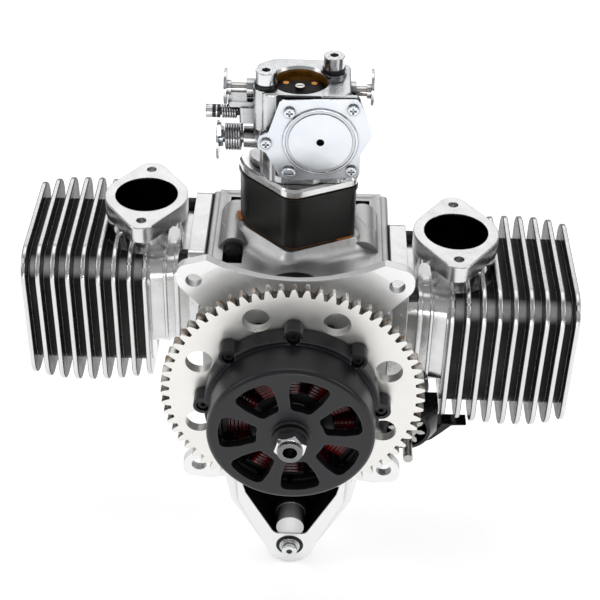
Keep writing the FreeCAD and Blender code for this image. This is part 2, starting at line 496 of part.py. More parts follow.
def rod(s, yc):
    a, b = s * THROW, s * PIN_X
    r = fuse(cylY(a, 0, 11.0, yc - 5, yc + 5), cylY(b, 0, 8.0, yc - 5.5, yc + 5.5),
             prism([(a, 7.5), (b, 5.5), (b, -5.5), (a, -7.5)], 0, "Y", yc - 3.6, yc + 3.6))
    g0, g1 = sorted((s * (THROW + 13), s * (PIN_X - 10)))
    for sy in (-1, 1):
        y0, y1 = sorted((yc + sy * 1.4, yc + sy * 5))
        r = cut(r, prism([(g0, 4.2), (g1, 3.4), (g1, -3.4), (g0, -4.2)] if s > 0 else [(g0, 3.4), (g1, 4.2), (g1, -4.2), (g0, -3.4)], 1.2, "Y", y0, y1))
    return cut(r, cylY(a, 0, 6.05, yc - 9, yc + 9), cylY(b, 0, 5.05, yc - 9, yc + 9))
save("connecting_rod_right", rod(1, Y_R))
save("connecting_rod_left", rod(-1, Y_L))

def piston(s, yc):
    p = cylX(yc, 0, 25.93, s * 69.5, s * 108)
    p = cut(p, cylX(yc, 0, 22.6, s * 68, s * 102.5))
    bosses = [cylY(s * PIN_X, 0, 8.5, yc + a, yc + b) for a, b in ((-24, -6.5), (6.5, 24))]
    p = fuse(p, *bosses).common(cylX(yc, 0, 25.93, s * 60, s * 110))
    p = cut(p, cylY(s * PIN_X, 0, 5.0, yc - 30, yc + 30))
    for x in (101.0, 105.0):
        p = cut(p, cylX(yc, 0, 30, s * x, s * (x + 1.5)).cut(cylX(yc, 0, 23.6, s * (x - 1), s * (x + 3))))
    return p
for nm, s, yc in (("right", 1, Y_R), ("left", -1, Y_L)):
    save("piston_" + nm, piston(s, yc))
    rg = []
    for x in (101.0, 105.0):
        r_ = cylX(yc, 0, 25.97, s * x, s * (x + 1.5)).cut(cylX(yc, 0, 23.6, s * (x - 1), s * (x + 3)))
        r_ = cut(r_, box(*(sorted((s * (x - 1), s * (x + 3)))), yc - 0.3, yc + 0.3, -30, 0))
        rg.append(r_)
    gp = cut(cylY(s * PIN_X, 0, 5.0, yc - 21, yc + 21), cylY(s * PIN_X, 0, 2.8, yc - 25, yc + 25))
    save("piston_pin_and_rings_" + nm, rg + [gp])

# ball bearings: front and rear mains and the hub-end thrust bearing
B = [(29.0, 43.0, JR, MAIN_R, 9), (95.0, 109.0, JR, MAIN_R, 9), (118.0, 128.0, JR, 21.0, 9)]
outer, inner, balls = [], [], []
for y0, y1, ri, ro, n in B:
    rm = 0.5 * (ri + ro); rb = 0.27 * (ro - ri); ym = 0.5 * (y0 + y1)
    groove = Part.makeTorus(rm, rb + 0.12, V(0, ym, 0), V(0, 1, 0))
    o = ringY(0, 0, ro, rm + rb * 0.55, y0, y1).cut(groove)
    i2 = ringY(0, 0, rm - rb * 0.55, ri, y0, y1).cut(groove)
    outer.append(o); inner.append(i2)
    for k in range(n):
        x, z = polar(k, n, rm)
        balls.append(Part.makeSphere(rb - 0.03, V(x, ym, z)))
save("bearing_inner_races", inner)
save("bearing_outer_races_and_balls", outer + balls)
save("crank_seals", [ringY(0, 0, MAIN_R, JR + 0.08, 24.2, 28.8), ringY(0, 0, 21.0, JR + 0.08, 128.2, 130.8)])

# ================================================================== propeller hub
hub = fuse(cylY(0, 0, 27.5, 139.5, 147.5), cylY(0, 0, 18.0, 132.5, 140))
hub = rim(hub, 0.8, lambda e: (at(e, y=147.5) or at(e, y=139.5)) and e.Length > 150)
hub = cut(hub, cylY(0, 0, JR, 130, 150))
for k in range(6):
    x, z = polar(k, 6, 21.0, 0)
    hub = cut(hub, cylY(x, z, 2.75, 138, 150))
save("propeller_hub", hub)
hs = fuse(cylY(0, 0, 13.0, 148.0, 150.5).cut(cylY(0, 0, 6.0, 147, 151)))
save("hub_retainer", [hs, socket_screw((0, 152.0, 0), (0, -1, 0), 2.6, 14, 6.2, 5, 4)])

# ================================================================== ring gear and generator rotor
g = gear(GEAR_TEETH, GEAR_M, GEAR_Y0, GEAR_Y1, 0, 0, math.radians(-33.47), 34.0)
for k in range(8):
    x, z = polar(k, 8, 50.5, 66.0)
    g = cut(g, cylY(x, z, 6.8, GEAR_Y0 - 1, GEAR_Y1 + 1))
lugs = [polar(k, N_LUG, 44.0, 90.0) for k in range(N_LUG)]
for x, z in lugs:
    g = cut(g, cylY(x, z, 1.75, GEAR_Y0 - 1, GEAR_Y1 + 1))
save("ring_gear", g)

bell = fuse(cylY(0, 0, ROTOR_R, ROTOR_FACE, -14), cylY(0, 0, 43.6, -23, GEAR_Y0))
bell = rim(bell, 2.6, lambda e: at(e, y=ROTOR_FACE))
bell = rim(bell, 0.8, lambda e: at(e, y=-23) and e.Length > 270)
for x, z in lugs:
    a = math.atan2(z, x)
    q = [(x + 7.2 * math.cos(a + t) if False else 0, 0) for t in ()]
    u = (math.cos(a), math.sin(a)); w = (-u[1], u[0])
    base = [(36 * u[0] + 8.5 * w[0], 36 * u[1] + 8.5 * w[1]), (42.5 * u[0] + 6.2 * w[0], 42.5 * u[1] + 6.2 * w[1]),
            (42.5 * u[0] - 6.2 * w[0], 42.5 * u[1] - 6.2 * w[1]), (36 * u[0] - 8.5 * w[0], 36 * u[1] - 8.5 * w[1])]
    bell = bell.fuse([cylY(x, z, 4.9, -22, GEAR_Y0), prism(base, 0, "Y", -20, GEAR_Y0)])
bell = bell.removeSplitter()
bell = cut(bell, cylY(0, 0, 37.2, ROTOR_FACE + 5, 0))
bell = fuse(bell, cylY(0, 0, 9.5, ROTOR_FACE - 0.6, ROTOR_FACE + 11))
wnd = []
for k in range(7):
    a = math.radians(22.4 + 360.0 * k / 7)
    def pt(r, t):
        return (r * math.cos(a + t), r * math.sin(a + t))
    wnd.append(prism([pt(17.0, -0.29), pt(26.5, -0.33), pt(35.2, -0.30), pt(35.8, 0.0), pt(35.2, 0.30), pt(26.5, 0.33), pt(17.0, 0.29), pt(16.6, 0.0)],
                     [2.6, 6, 3.4, 30, 3.4, 6, 2.6, 9], "Y", ROTOR_FACE - 2, ROTOR_FACE + 8))
bell = cut(bell, cylY(0, 0, 8.0, -60, 0), *wnd)
for x, z in lugs:
    bell = cut(bell, cylY(x, z, 1.75, -30, 0), cylY(x, z, 3.2, -30, -18.5))
save("rotor_bell", bell)
mag = []
for k in range(14):
    a0 = 2 * math.pi * k / 14; h = 0.19
    P = [(r * math.cos(a0 + t), r * math.sin(a0 + t)) for r, t in ((34.2, -h), (37.1, -h), (37.18, 0), (37.1, h), (34.2, h), (34.05, 0))]
    mag.append(prism(P, 0, "Y", -36.5, -15.5))
save("rotor_magnets", mag)
save("rotor_lug_screws", [socket_screw((x, -18.5, z), (0, 1, 0), 1.7, 11.0, 2.9, 2.6, 2.4) for x, z in lugs])
save("rotor_washer", rim(ringY(0, 0, 9.2, 6.0, -46.4, -43.6), 0.5, lambda e: at(e, y=-46.4) and e.Length > 50))
nut = hexY(0, 0, 14.2, -52.6, -46.4, 15)
nut = nut.common(Part.makeCone(6.6, 12.8, 6.2, V(0, -52.6, 0), V(0, 1, 0)))
nut = cut(fuse(nut, ), cylY(0, 0, 6.0, -56, -40))
save("rotor_nut", nut)

# stator, on a carrier fixed in the crankcase neck
car = fuse(cylY(0, 0, 26.4, 5.2, 9.0), cylY(0, 0, 14.0, -34, 6), Part.makeCone(22, 14, 9, V(0, 5.2, 0), V(0, -1, 0)))
car = cut(car, cylY(0, 0, 10.6, -40, 12))
save("stator_carrier", car)
core = ringY(0, 0, 20.5, 14.0, -33.5, -19.5)
teeth = []
for k in range(12):
    a = math.radians(30 * k)
    u = (math.cos(a), math.sin(a)); w = (-u[1], u[0])
    def q(r, t):
        return (r * u[0] + t * w[0], r * u[1] + t * w[1])
    teeth.append(prism([q(19.5, -2.2), q(31, -2.2), q(31.6, -6.8), q(33.2, -6.6), q(33.6, 0), q(33.2, 6.6), q(31.6, 6.8), q(31, 2.2), q(19.5, 2.2)], 0, "Y", -33.5, -19.5))
core = fuse(core, *teeth)
save("stator_core", core)
coils = []
for k in range(12):
    a = math.radians(30 * k)
    u = (math.cos(a), math.sin(a)); w = (-u[1], u[0])
    def q(r, t):
        return (r * u[0] + t * w[0], r * u[1] + t * w[1])
    o = prism([q(20.8, -4.4), q(30.7, -6.2), q(30.7, 6.2), q(20.8, 4.4)], 0.8, "Y", -36.0, -17.0)
    coils.append(cut(o, prism([q(19, -2.2), q(32, -2.2), q(32, 2.2), q(19, 2.2)], 0, "Y", -33.5, -19.5)))
save("stator_windings", coils)

# ================================================================== intake: gasket, reed, insulator block, flange
def blk(h_a, z0, z1, holes=2.1, port=None):
    b = prism(grow(BLOCK, h_a), [max(1.5, q + h_a) for q in BLOCK_RAD], "Z", z0, z1)
    for x, y in (blk_holes if holes else []):
        b = cut(b, cylZ(x, y, holes, z0 - 1, z1 + 1))
    if port is not None:
        b = cut(b, port)
    return b
tab = [prism(rect(23.6, 56.6, 4.6, 1.6, 26.0), 1.4, "Z", BLOCK_Z0 - 0.6, BLOCK_Z0), prism(rect(-31.0, 74.0, 1.4, 4.2, 12.0), 1.2, "Z", BLOCK_Z0 - 0.6, BLOCK_Z0)]
gk.append(fuse(blk(-0.5, BLOCK_Z0 - 0.6, BLOCK_Z0, 2.1, prism(rect(*BLOCK_C, 15.5, 13.5, BLOCK_ROT), 2, "Z", 40, 60)), *tab))
port = prism(rect(*BLOCK_C, 15.5, 13.5, BLOCK_ROT), 2, "Z", 40, 70)
block = blk(0.0, BLOCK_Z0, BLOCK_Z1, 2.1, port)
block = fuse(block, cut(blk(0.7, BLOCK_Z1 - 2.2, BLOCK_Z1, 2.1), cylZ(BLOCK_C[0], BLOCK_C[1], 15, 60, 90)))
block = cut(block, cylZ(BLOCK_C[0], BLOCK_C[1], THROAT_R, 60, 90))
save("insulator_block", block)
# reed cage hangs in the passage; petals close its two slopes
c_, s_ = math.cos(math.radians(BLOCK_ROT)), math.sin(math.radians(BLOCK_ROT))
def loc(a, b, z):
    return V(BLOCK_C[0] + a * c_ - b * s_, BLOCK_C[1] + a * s_ + b * c_, z)
def wedge(pts, a0, a1):
    P = [loc(a0, b, z) for b, z in pts]
    f = Part.Face(Part.makePolygon(P + [P[0]]))
    return f.extrude(V((a1 - a0) * c_, (a1 - a0) * s_, 0))
cage = wedge([(-12.8, 68), (12.8, 68), (1.6, 41), (-1.6, 41)], -14.8, 14.8)
cage = cut(cage, wedge([(-10.2, 69), (10.2, 69), (0.4, 45), (-0.4, 45)], -12.6, 12.6))
cage = cut(cage, wedge([(-16, 64.5), (16, 64.5), (16, 46), (-16, 46)], -12.2, -0.9), wedge([(-16, 64.5), (16, 64.5), (16, 46), (-16, 46)], 0.9, 12.2))
cage = fuse(cage, cut(prism(rect(*BLOCK_C, 15.45, 13.45, BLOCK_ROT), 2, "Z", 66.3, 69.9), prism(rect(*BLOCK_C, 12.6, 9.4, BLOCK_ROT), 1, "Z", 66, 70)))
reed = max(cage.Solids, key=lambda q: q.Volume)
pet = []
sl = (12.8 - 1.6) / 27.0
for sg in (-1, 1):
    def bz(z, off):
        return (sg * (1.6 + (z - 41) * sl + off), z)
    pet.append(wedge([bz(66, 0.05), bz(66, 0.4), bz(43, 0.4), bz(43, 0.05)], -13.4, 13.4))
save("reed_valve", [reed] + pet)
SCR = [(-17.3, 60.6), (15.4, 75.4)]     # the two long screws through the carburettor
uport = cylZ(BLOCK_C[0], BLOCK_C[1], THROAT_R, 70, 100)
gk.append(blk(-0.8, BLOCK_Z1, BLOCK_Z1 + 0.9, 2.1, uport))
save("gaskets", gk)
fl = blk(0.4, BLOCK_Z1 + 0.9, CARB_Z0 - 0.3, 0, uport)
fl = rim(fl, 1.1, lambda e: at(e, z=CARB_Z0 - 0.3) and e.BoundBox.Center.z > 0, True)
for x, y in blk_holes:
    fl = cut(fl, cylZ(x, y, 1.9, 80, BLOCK_Z1 + 3.4))
for x, y in SCR:
    fl = cut(fl, cylZ(x, y, 2.5, 80.6, 90))
save("carb_flange", fl)

# ================================================================== carburettor
cx, cy = CARB_C
cb = prism([(-17.5, 52.2), (21.5, 52.2), (24, 57), (24, 84), (17, 90), (-14, 90), (-22.5, 84), (-23.5, 62)], [3, 3, 3, 5, 6, 5, 6, 4], "Z", 104, CARB_Z1)
foot = prism([(-14.5, 52.2), (20, 52.2), (22.5, 57), (22, 83), (14, 88), (-12, 88), (-20, 82), (-20, 60)], [3, 3, 3, 5, 6, 5, 6, 4], "Z", CARB_Z0, 105)
cb = fuse(cb, foot, cylZ(cx, cy, 19.5, 84.9, CARB_Z1), prism(grow(BLOCK, -4.2), [3, 10, 6, 4, 6], "Z", CARB_Z0, 88.4))
cb = rim(cb, 1.1, lambda e: at(e, z=CARB_Z1))
# pad for the metering cover, with its rounded tab
COVER = [(-10, 133.0), (28.0, 134.2), (35.0, 115.3), (29.6, 104.9), (29.6, 91.6), (23.6, 90.6), (-4.1, 88.2), (-9.7, 90.0),
         (-16.6, 103.6), (-21.0, 106.6), (-20.4, 113.0), (-15.6, 115.0)]
CR = [2, 3, 4, 4, 2.5, 3, 3, 3, 3, 3, 3, 2]
def inset(k):
    mx, mz = 8.0, 111.0
    return [(mx + (x - mx) * k, mz + (z - mz) * k) for x, z in COVER]
pad = prism(inset(0.985), CR, "Y", 50.2, 54.5)
backing = prism([(-13, 92), (27, 92), (30, 114), (25.5, 131.5), (-8, 131.5), (-13, 116)], 3, "Y", 54, 60)
cb = fuse(cb, pad, backing)
# bosses for the shafts and the idle screw
cb = fuse(cb, cylX(cy, CHOKE_Z, 4.6, -27, 26.5), cylX(cy, THR_Z, 5.4, -28.5, 25.5), cylZ(SCR[0][0], SCR[0][1], 6.2, 112, CARB_Z1),
          prism([(-30.5, 62), (-20, 62), (-20, 74), (-30.5, 74)], 2, "Z", 112.0, 120.5),
          prism([(-36.1, 63), (-22, 63), (-22, 73), (-36.1, 73)], 2, "Z", 120.4, 123.4), cylZ(SCR[1][0], SCR[1][1], 6.4, CARB_Z1 - 3, CARB_Z1 + 1.4))
cb = cut(cb, cylZ(cx, cy, THROAT_R, 80, 140), Part.makeCone(THROAT_R, THROAT_R + 1.8, 2.4, V(cx, cy, CARB_Z1 - 2.4), V(0, 0, 1)))
cb = cut(cb, cylX(cy, CHOKE_Z, 2.55, -40, 40), cylX(cy, THR_Z, 3.05, -40, 40), cylX(66.5, 116.2, 2.0, -40, -18))
for x, y in SCR:
    cb = cut(cb, cylZ(x, y, 2.6, 80, 140))
cb = cut(cb, cylY(9.8, 111.0, 15.5, 49, 55.5))
COVER_SCR = [(-5.4, 126.8), (25.1, 129.2), (-16.7, 109.3), (-5.4, 93.0), (25.4, 95.2)]
for x, z in COVER_SCR:
    cb = cut(cb, cylY(x, z, 1.5, 49, 57))
cb = cut(cb, cylY(19.0, 125.5, 1.2, 49, 53))
MIX = [(25.6, 63.4, 95.2), (25.6, 63.4, 110.0)]
for x, y, z in MIX:
    cb = fuse(cb, cylX(y, z, 3.6, 20, 27))
    cb = cut(cb, cylX(y, z, 1.7, 17.5, 30))
cb = cut(cb, cylY(2.0, 97.0, 2.0, 80, 92))
cb = cut(cb, cylZ(cx, cy, THROAT_R, 80, 140), box(-60, 60, 30, 50.2, 80, 140))
save("carb_body", max(cb.Solids, key=lambda q: q.Volume))

diaph = prism(inset(0.985), CR, "Y", 49.6, 50.2)
cover = prism(COVER, CR, "Y", 48.2, 49.6)
cover = fuse(cover, cylY(9.8, 111.0, 18.4, 47.3, 49.0))
cover = rim(cover, 0.6, lambda e: at(e, y=47.3) and e.Length > 100)
cover = cut(cover, ringY(9.8, 111.0, 17.2, 15.6, 46.5, 47.9))
cover = rim(cover, 0.4, lambda e: at(e, y=48.2) and False)
cover = cut(cover, cylY(9.8, 111.0, 14.8, 48.6, 50), cylY(9.8, 111.0, 1.1, 40, 50))
for x, z in COVER_SCR:
    cover = cut(cover, cylY(x, z, 1.6, 40, 50)); diaph = cut(diaph, cylY(x, z, 1.6, 40, 52))
save("metering_cover", cover)
save("metering_diaphragm", diaph)
scr = []
for i, (x, z) in enumerate(COVER_SCR):
    hr = 3.5 if i == 3 else 2.7
    h = cylY(x, z, hr, 46.4, 48.2)
    h = rim(h, 0.6, lambda e: at(e, y=46.4))
    h = fuse(h, cylY(x, z, 1.45, 48.2, 55.5))
    w1 = 0.45
    h = cut(h, box(x - hr * 0.62, x + hr * 0.62, 46.0, 47.2, z - w1, z + w1))
    if i != 3:
        h = cut(h, box(x - w1, x + w1, 46.0, 47.2, z - hr * 0.62, z + hr * 0.62))
    scr.append(h)
save("metering_cover_screws", scr)
pump = prism([(-14, 108), (14, 108), (14, 131), (-14, 131)], 5, "Y", 90, 93.2)
save("pump_cover", rim(pump, 0.8, lambda e: at(e, y=93.2)))
inlet = fuse(cylY(2.0, 97.0, 1.95, 83, 89), cylY(2.0, 97.0, 3.2, 88.05, 91), cylY(2.0, 97.0, 2.2, 91, 100), cylY(2.0, 97.0, 2.9, 97.0, 98.4))
save("fuel_inlet", cut(inlet, cylY(2.0, 97.0, 1.2, 82, 102)))
ms, mw = [], []
for x, y in SCR:
    zs = CARB_Z1 + (1.4 if x > 0 else 0.0)
    s_c = socket_screw((x, y, zs + 2.4), (0, 0, -1), 2.5, 56, 5.2, 6.3, 4.0)
    ms.append(s_c)
    mw.append(rim(cylZ(x, y, 5.7, zs, zs + 2.4), 0.6, lambda e: at(e, z=zs) or at(e, z=zs + 2.4)).cut(cylZ(x, y, 2.6, 130, 140)))
save("carb_screws", [m.common(cylZ(m.BoundBox.Center.x, m.BoundBox.Center.y, 9, 81, 150)) for m in ms])
save("carb_screw_washers", mw)

# choke: shaft with a disc at each end, butterfly in the throat
ch = cylX(cy, CHOKE_Z, 2.5, -36.6, 33.8)
ch = cut(ch, box(cx - 13.0, cx + 13.0, cy - 3, cy + 3, CHOKE_Z, CHOKE_Z + 3))
TP = 0.6
pl = cylZ(cx, cy, THROAT_R - 0.25, CHOKE_Z, CHOKE_Z + TP)
pl = cut(pl, cylZ(cx - 7, cy - 4.5, 1.0, 120, 140), cylZ(cx + 7, cy - 4.5, 1.0, 120, 140))
save("choke_plate", pl)
ps = fuse(cylZ(cx, cy, 2.3, CHOKE_Z + TP, CHOKE_Z + TP + 1.5))
ps = cut(ps, box(cx - 1.6, cx + 1.6, cy - 0.35, cy + 0.35, CHOKE_Z + TP + 0.8, CHOKE_Z + 4))
save("choke_shaft", [ch, ps])
dR = rim(fuse(cylX(cy, CHOKE_Z + 2.2, 9.0, 33.8, 35.2), cylX(cy, CHOKE_Z, 3.6, 31.8, 33.9)), 0.4, lambda e: at(e, x=35.2))
dL = fuse(cylX(cy, CHOKE_Z + 0.6, 8.7, -38.0, -36.6), cylX(cy, CHOKE_Z, 3.6, -36.7, -34.6))
save("choke_levers", [cut(dR, cylX(cy, CHOKE_Z, 2.5, 30, 33.8)), cut(dL, cylX(cy, CHOKE_Z, 2.5, -36.6, -30))])

# throttle: shaft, butterfly (closed at rest), lever and return spring
th = cylX(cy, THR_Z, 3.0, -42.5, 27.5)
th = cut(th, box(cx - 13.2, cx + 13.2, cy - 4, cy + 4, THR_Z, THR_Z + 4))
tp = cylZ(cx, cy, THROAT_R - 0.25, THR_Z, THR_Z + 0.7)
save("throttle_plate", tp)
save("throttle_shaft", [th, cut(cylZ(cx, cy, 2.3, THR_Z + 0.7, THR_Z + 2.2), box(cx - 1.6, cx + 1.6, cy - 0.35, cy + 0.35, THR_Z + 1.5, THR_Z + 4))])
lev = fuse(cylX(cy, THR_Z, 5.2, -42.0, -38.8), cylX(cy + 0.0, THR_Z - 2.0, 9.8, -42.0, -40.8),
           prism([(cy - 8.5, THR_Z + 3), (cy - 4.5, THR_Z + 5), (cy - 3, THR_Z + 10.2), (cy - 6.8, THR_Z + 10.6)], 1, "X", -41.6, -39.4))
save("throttle_lever", cut(lev, cylX(cy, THR_Z, 3.0, -45, -30), cylX(cy, THR_Z - 8.4, 1.1, -45, -30)))
def coil_stack(y, z, R, r, x0, x1, n):
    p = (x1 - x0) / n
    return [Part.makeTorus(R, r, V(x0 + p * (i + 0.5), y, z), V(1, 0, 0)) for i in range(n)]
thr_spring = (coil_stack(cy, THR_Z, 6.3, 0.62, -38.4, -29.0, 6))
idl = fuse(cylX(66.5, 116.2, 1.95, -40, -22), cylX(66.5, 116.2, 3.3, -47.2, -40))
idl = cut(idl, box(-48, -46, 66.1, 66.9, 112, 120))
save("idle_speed_screw", idl)
save("carb_springs", thr_spring + coil_stack(66.5, 116.2, 3.0, 0.5, -39.8, -31.0, 6))
mix = []
for x, y, z in MIX:
    n_ = fuse(cylX(y, z, 1.65, 18, 27.4), cylX(y, z, 2.9, 27.3, 29.6))
    n_ = cut(n_, box(28.8, 31, y - 0.35, y + 0.35, z - 4, z + 4))
    mix.append(n_)
save("mixture_screw_low", mix[0])
save("mixture_screw_high", mix[1])

# ================================================================== starter
sx, sz = PINION_C
tube = ringY(sx, sz, 9.9, 5.2, 22.0, 89.0)
horn = fuse(cylY(sx, sz, 12.4, 8.8, 12.0), Part.makeCone(12.4, 22.0, 15.0, V(sx, 9.0, sz), V(0, 1, 0)), cylY(sx, sz, 22.0, 24.0, 30.0),
            prism([(sx, sz - 20), (69, -60), (75, -57), (80, -52), (85, -46.6), (93, -46.2), (93, -40), (60, -31)], [1, 4, 4, 4, 2, 1, 1, 1], "Y", 22.0, 30.0))
horn = horn.common(fuse(box(44, 76.6, 0, 40, -80, -30.5), box(70, 96, 0, 40, -80, -45.6)))
st = fuse(horn, tube, ringY(sx, sz, 16.5, 5.2, 86.5, 89.0))
st = cut(st, cylY(sx, sz, 10.6, 5.0, 22.0), cylY(sx, sz, 4.2, 10, 95), cylY(sx, sz, 5.2, 24.5, 95))
save("starter_nose", st)
can = cut(cylY(sx, sz, 16.5, 89.0, 127.0), cylY(sx, sz, 15.0, 90.5, 128))
can = cut(can, cylY(sx, sz, 4.0, 80, 130))
cap = fuse(cylY(sx, sz, 16.5, 127.0, 131.0), cylY(sx, sz, 6.0, 131.0, 134.0))
cap = rim(cap, 1.2, lambda e: at(e, y=131.0) and e.Length > 90)
cap = cut(cap, cylY(sx, sz, 2.6, 126, 132))
save("starter_can", [can, cap] + [cut(prism([(sx + 14.9 * math.cos(a), sz + 14.9 * math.sin(a)) for a in [b0 + i * 0.22 for i in range(9)]] +
                                    [(sx + 11.8 * math.cos(a), sz + 11.8 * math.sin(a)) for a in [b0 + i * 0.22 for i in range(8, -1, -1)]], 0, "Y", 94, 122))
                         for b0 in (0.7, 0.7 + math.pi)])
shaft = cylY(sx, sz, 2.5, -12.6, 130.5)
arm2 = fuse(*[prism([(sx + 3 * math.cos(a) - 1.6 * math.sin(a), sz + 3 * math.sin(a) + 1.6 * math.cos(a)),
                     (sx + 11 * math.cos(a) - 2.6 * math.sin(a), sz + 11 * math.sin(a) + 2.6 * math.cos(a)),
                     (sx + 11 * math.cos(a) + 2.6 * math.sin(a), sz + 11 * math.sin(a) - 2.6 * math.cos(a)),
                     (sx + 3 * math.cos(a) + 1.6 * math.sin(a), sz + 3 * math.sin(a) - 1.6 * math.cos(a))], 0, "Y", 96, 120) for a in [2 * math.pi * i / 7 for i in range(7)]],
             cylY(sx, sz, 6.5, 96, 120), cylY(sx, sz, 5.0, 120, 126))
save("starter_armature", [cut(arm2, cylY(sx, sz, 2.5, 90, 130)), shaft])
ang = math.atan2(-sz, -sx)
pn = gear(PINION_TEETH, GEAR_M, PINION_Y0, PINION_Y0 + PINION_W, sx, sz, ang + math.pi / PINION_TEETH, 0, 1.0, 1.15, 0.35)
pn = fuse(pn, cylY(sx, sz, 5.0, PINION_Y0 + PINION_W, PINION_Y0 + PINION_W + 3.4))
save("starter_pinion", cut(pn, cylY(sx, sz, 2.55, 0, 40)))
print("done", len(os.listdir("parts")))
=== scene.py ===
# Flat-twin aircraft engine: looks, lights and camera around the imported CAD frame.
import bpy, bmesh, json, math, random
from mathutils import Vector, Matrix

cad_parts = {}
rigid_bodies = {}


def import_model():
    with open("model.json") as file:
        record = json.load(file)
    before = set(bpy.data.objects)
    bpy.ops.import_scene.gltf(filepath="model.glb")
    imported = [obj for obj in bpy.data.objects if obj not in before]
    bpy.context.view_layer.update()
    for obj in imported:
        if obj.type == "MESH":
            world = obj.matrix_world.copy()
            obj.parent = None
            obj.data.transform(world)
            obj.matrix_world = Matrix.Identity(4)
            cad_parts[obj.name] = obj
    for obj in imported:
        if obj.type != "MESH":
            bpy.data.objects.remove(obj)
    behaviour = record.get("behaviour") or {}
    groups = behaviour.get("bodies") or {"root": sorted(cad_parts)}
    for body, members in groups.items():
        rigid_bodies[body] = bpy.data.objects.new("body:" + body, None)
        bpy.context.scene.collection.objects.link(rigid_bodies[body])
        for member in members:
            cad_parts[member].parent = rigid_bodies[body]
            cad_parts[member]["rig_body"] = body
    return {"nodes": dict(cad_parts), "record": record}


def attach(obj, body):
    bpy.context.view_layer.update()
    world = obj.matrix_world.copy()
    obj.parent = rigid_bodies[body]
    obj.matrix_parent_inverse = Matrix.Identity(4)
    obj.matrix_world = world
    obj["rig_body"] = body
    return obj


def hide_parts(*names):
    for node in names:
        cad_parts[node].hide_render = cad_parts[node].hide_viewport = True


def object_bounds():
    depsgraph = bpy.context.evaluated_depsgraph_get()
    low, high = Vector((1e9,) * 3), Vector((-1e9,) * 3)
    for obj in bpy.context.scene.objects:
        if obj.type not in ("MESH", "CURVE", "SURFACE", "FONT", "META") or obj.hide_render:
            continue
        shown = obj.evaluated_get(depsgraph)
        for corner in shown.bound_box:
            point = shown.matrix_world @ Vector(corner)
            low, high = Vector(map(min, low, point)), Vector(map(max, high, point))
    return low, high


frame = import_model()
cad_lo, cad_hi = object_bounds()
NODES = frame["nodes"]
BODY = {n: o["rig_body"] for n, o in NODES.items()}
random.seed(7)
MM = 0.001

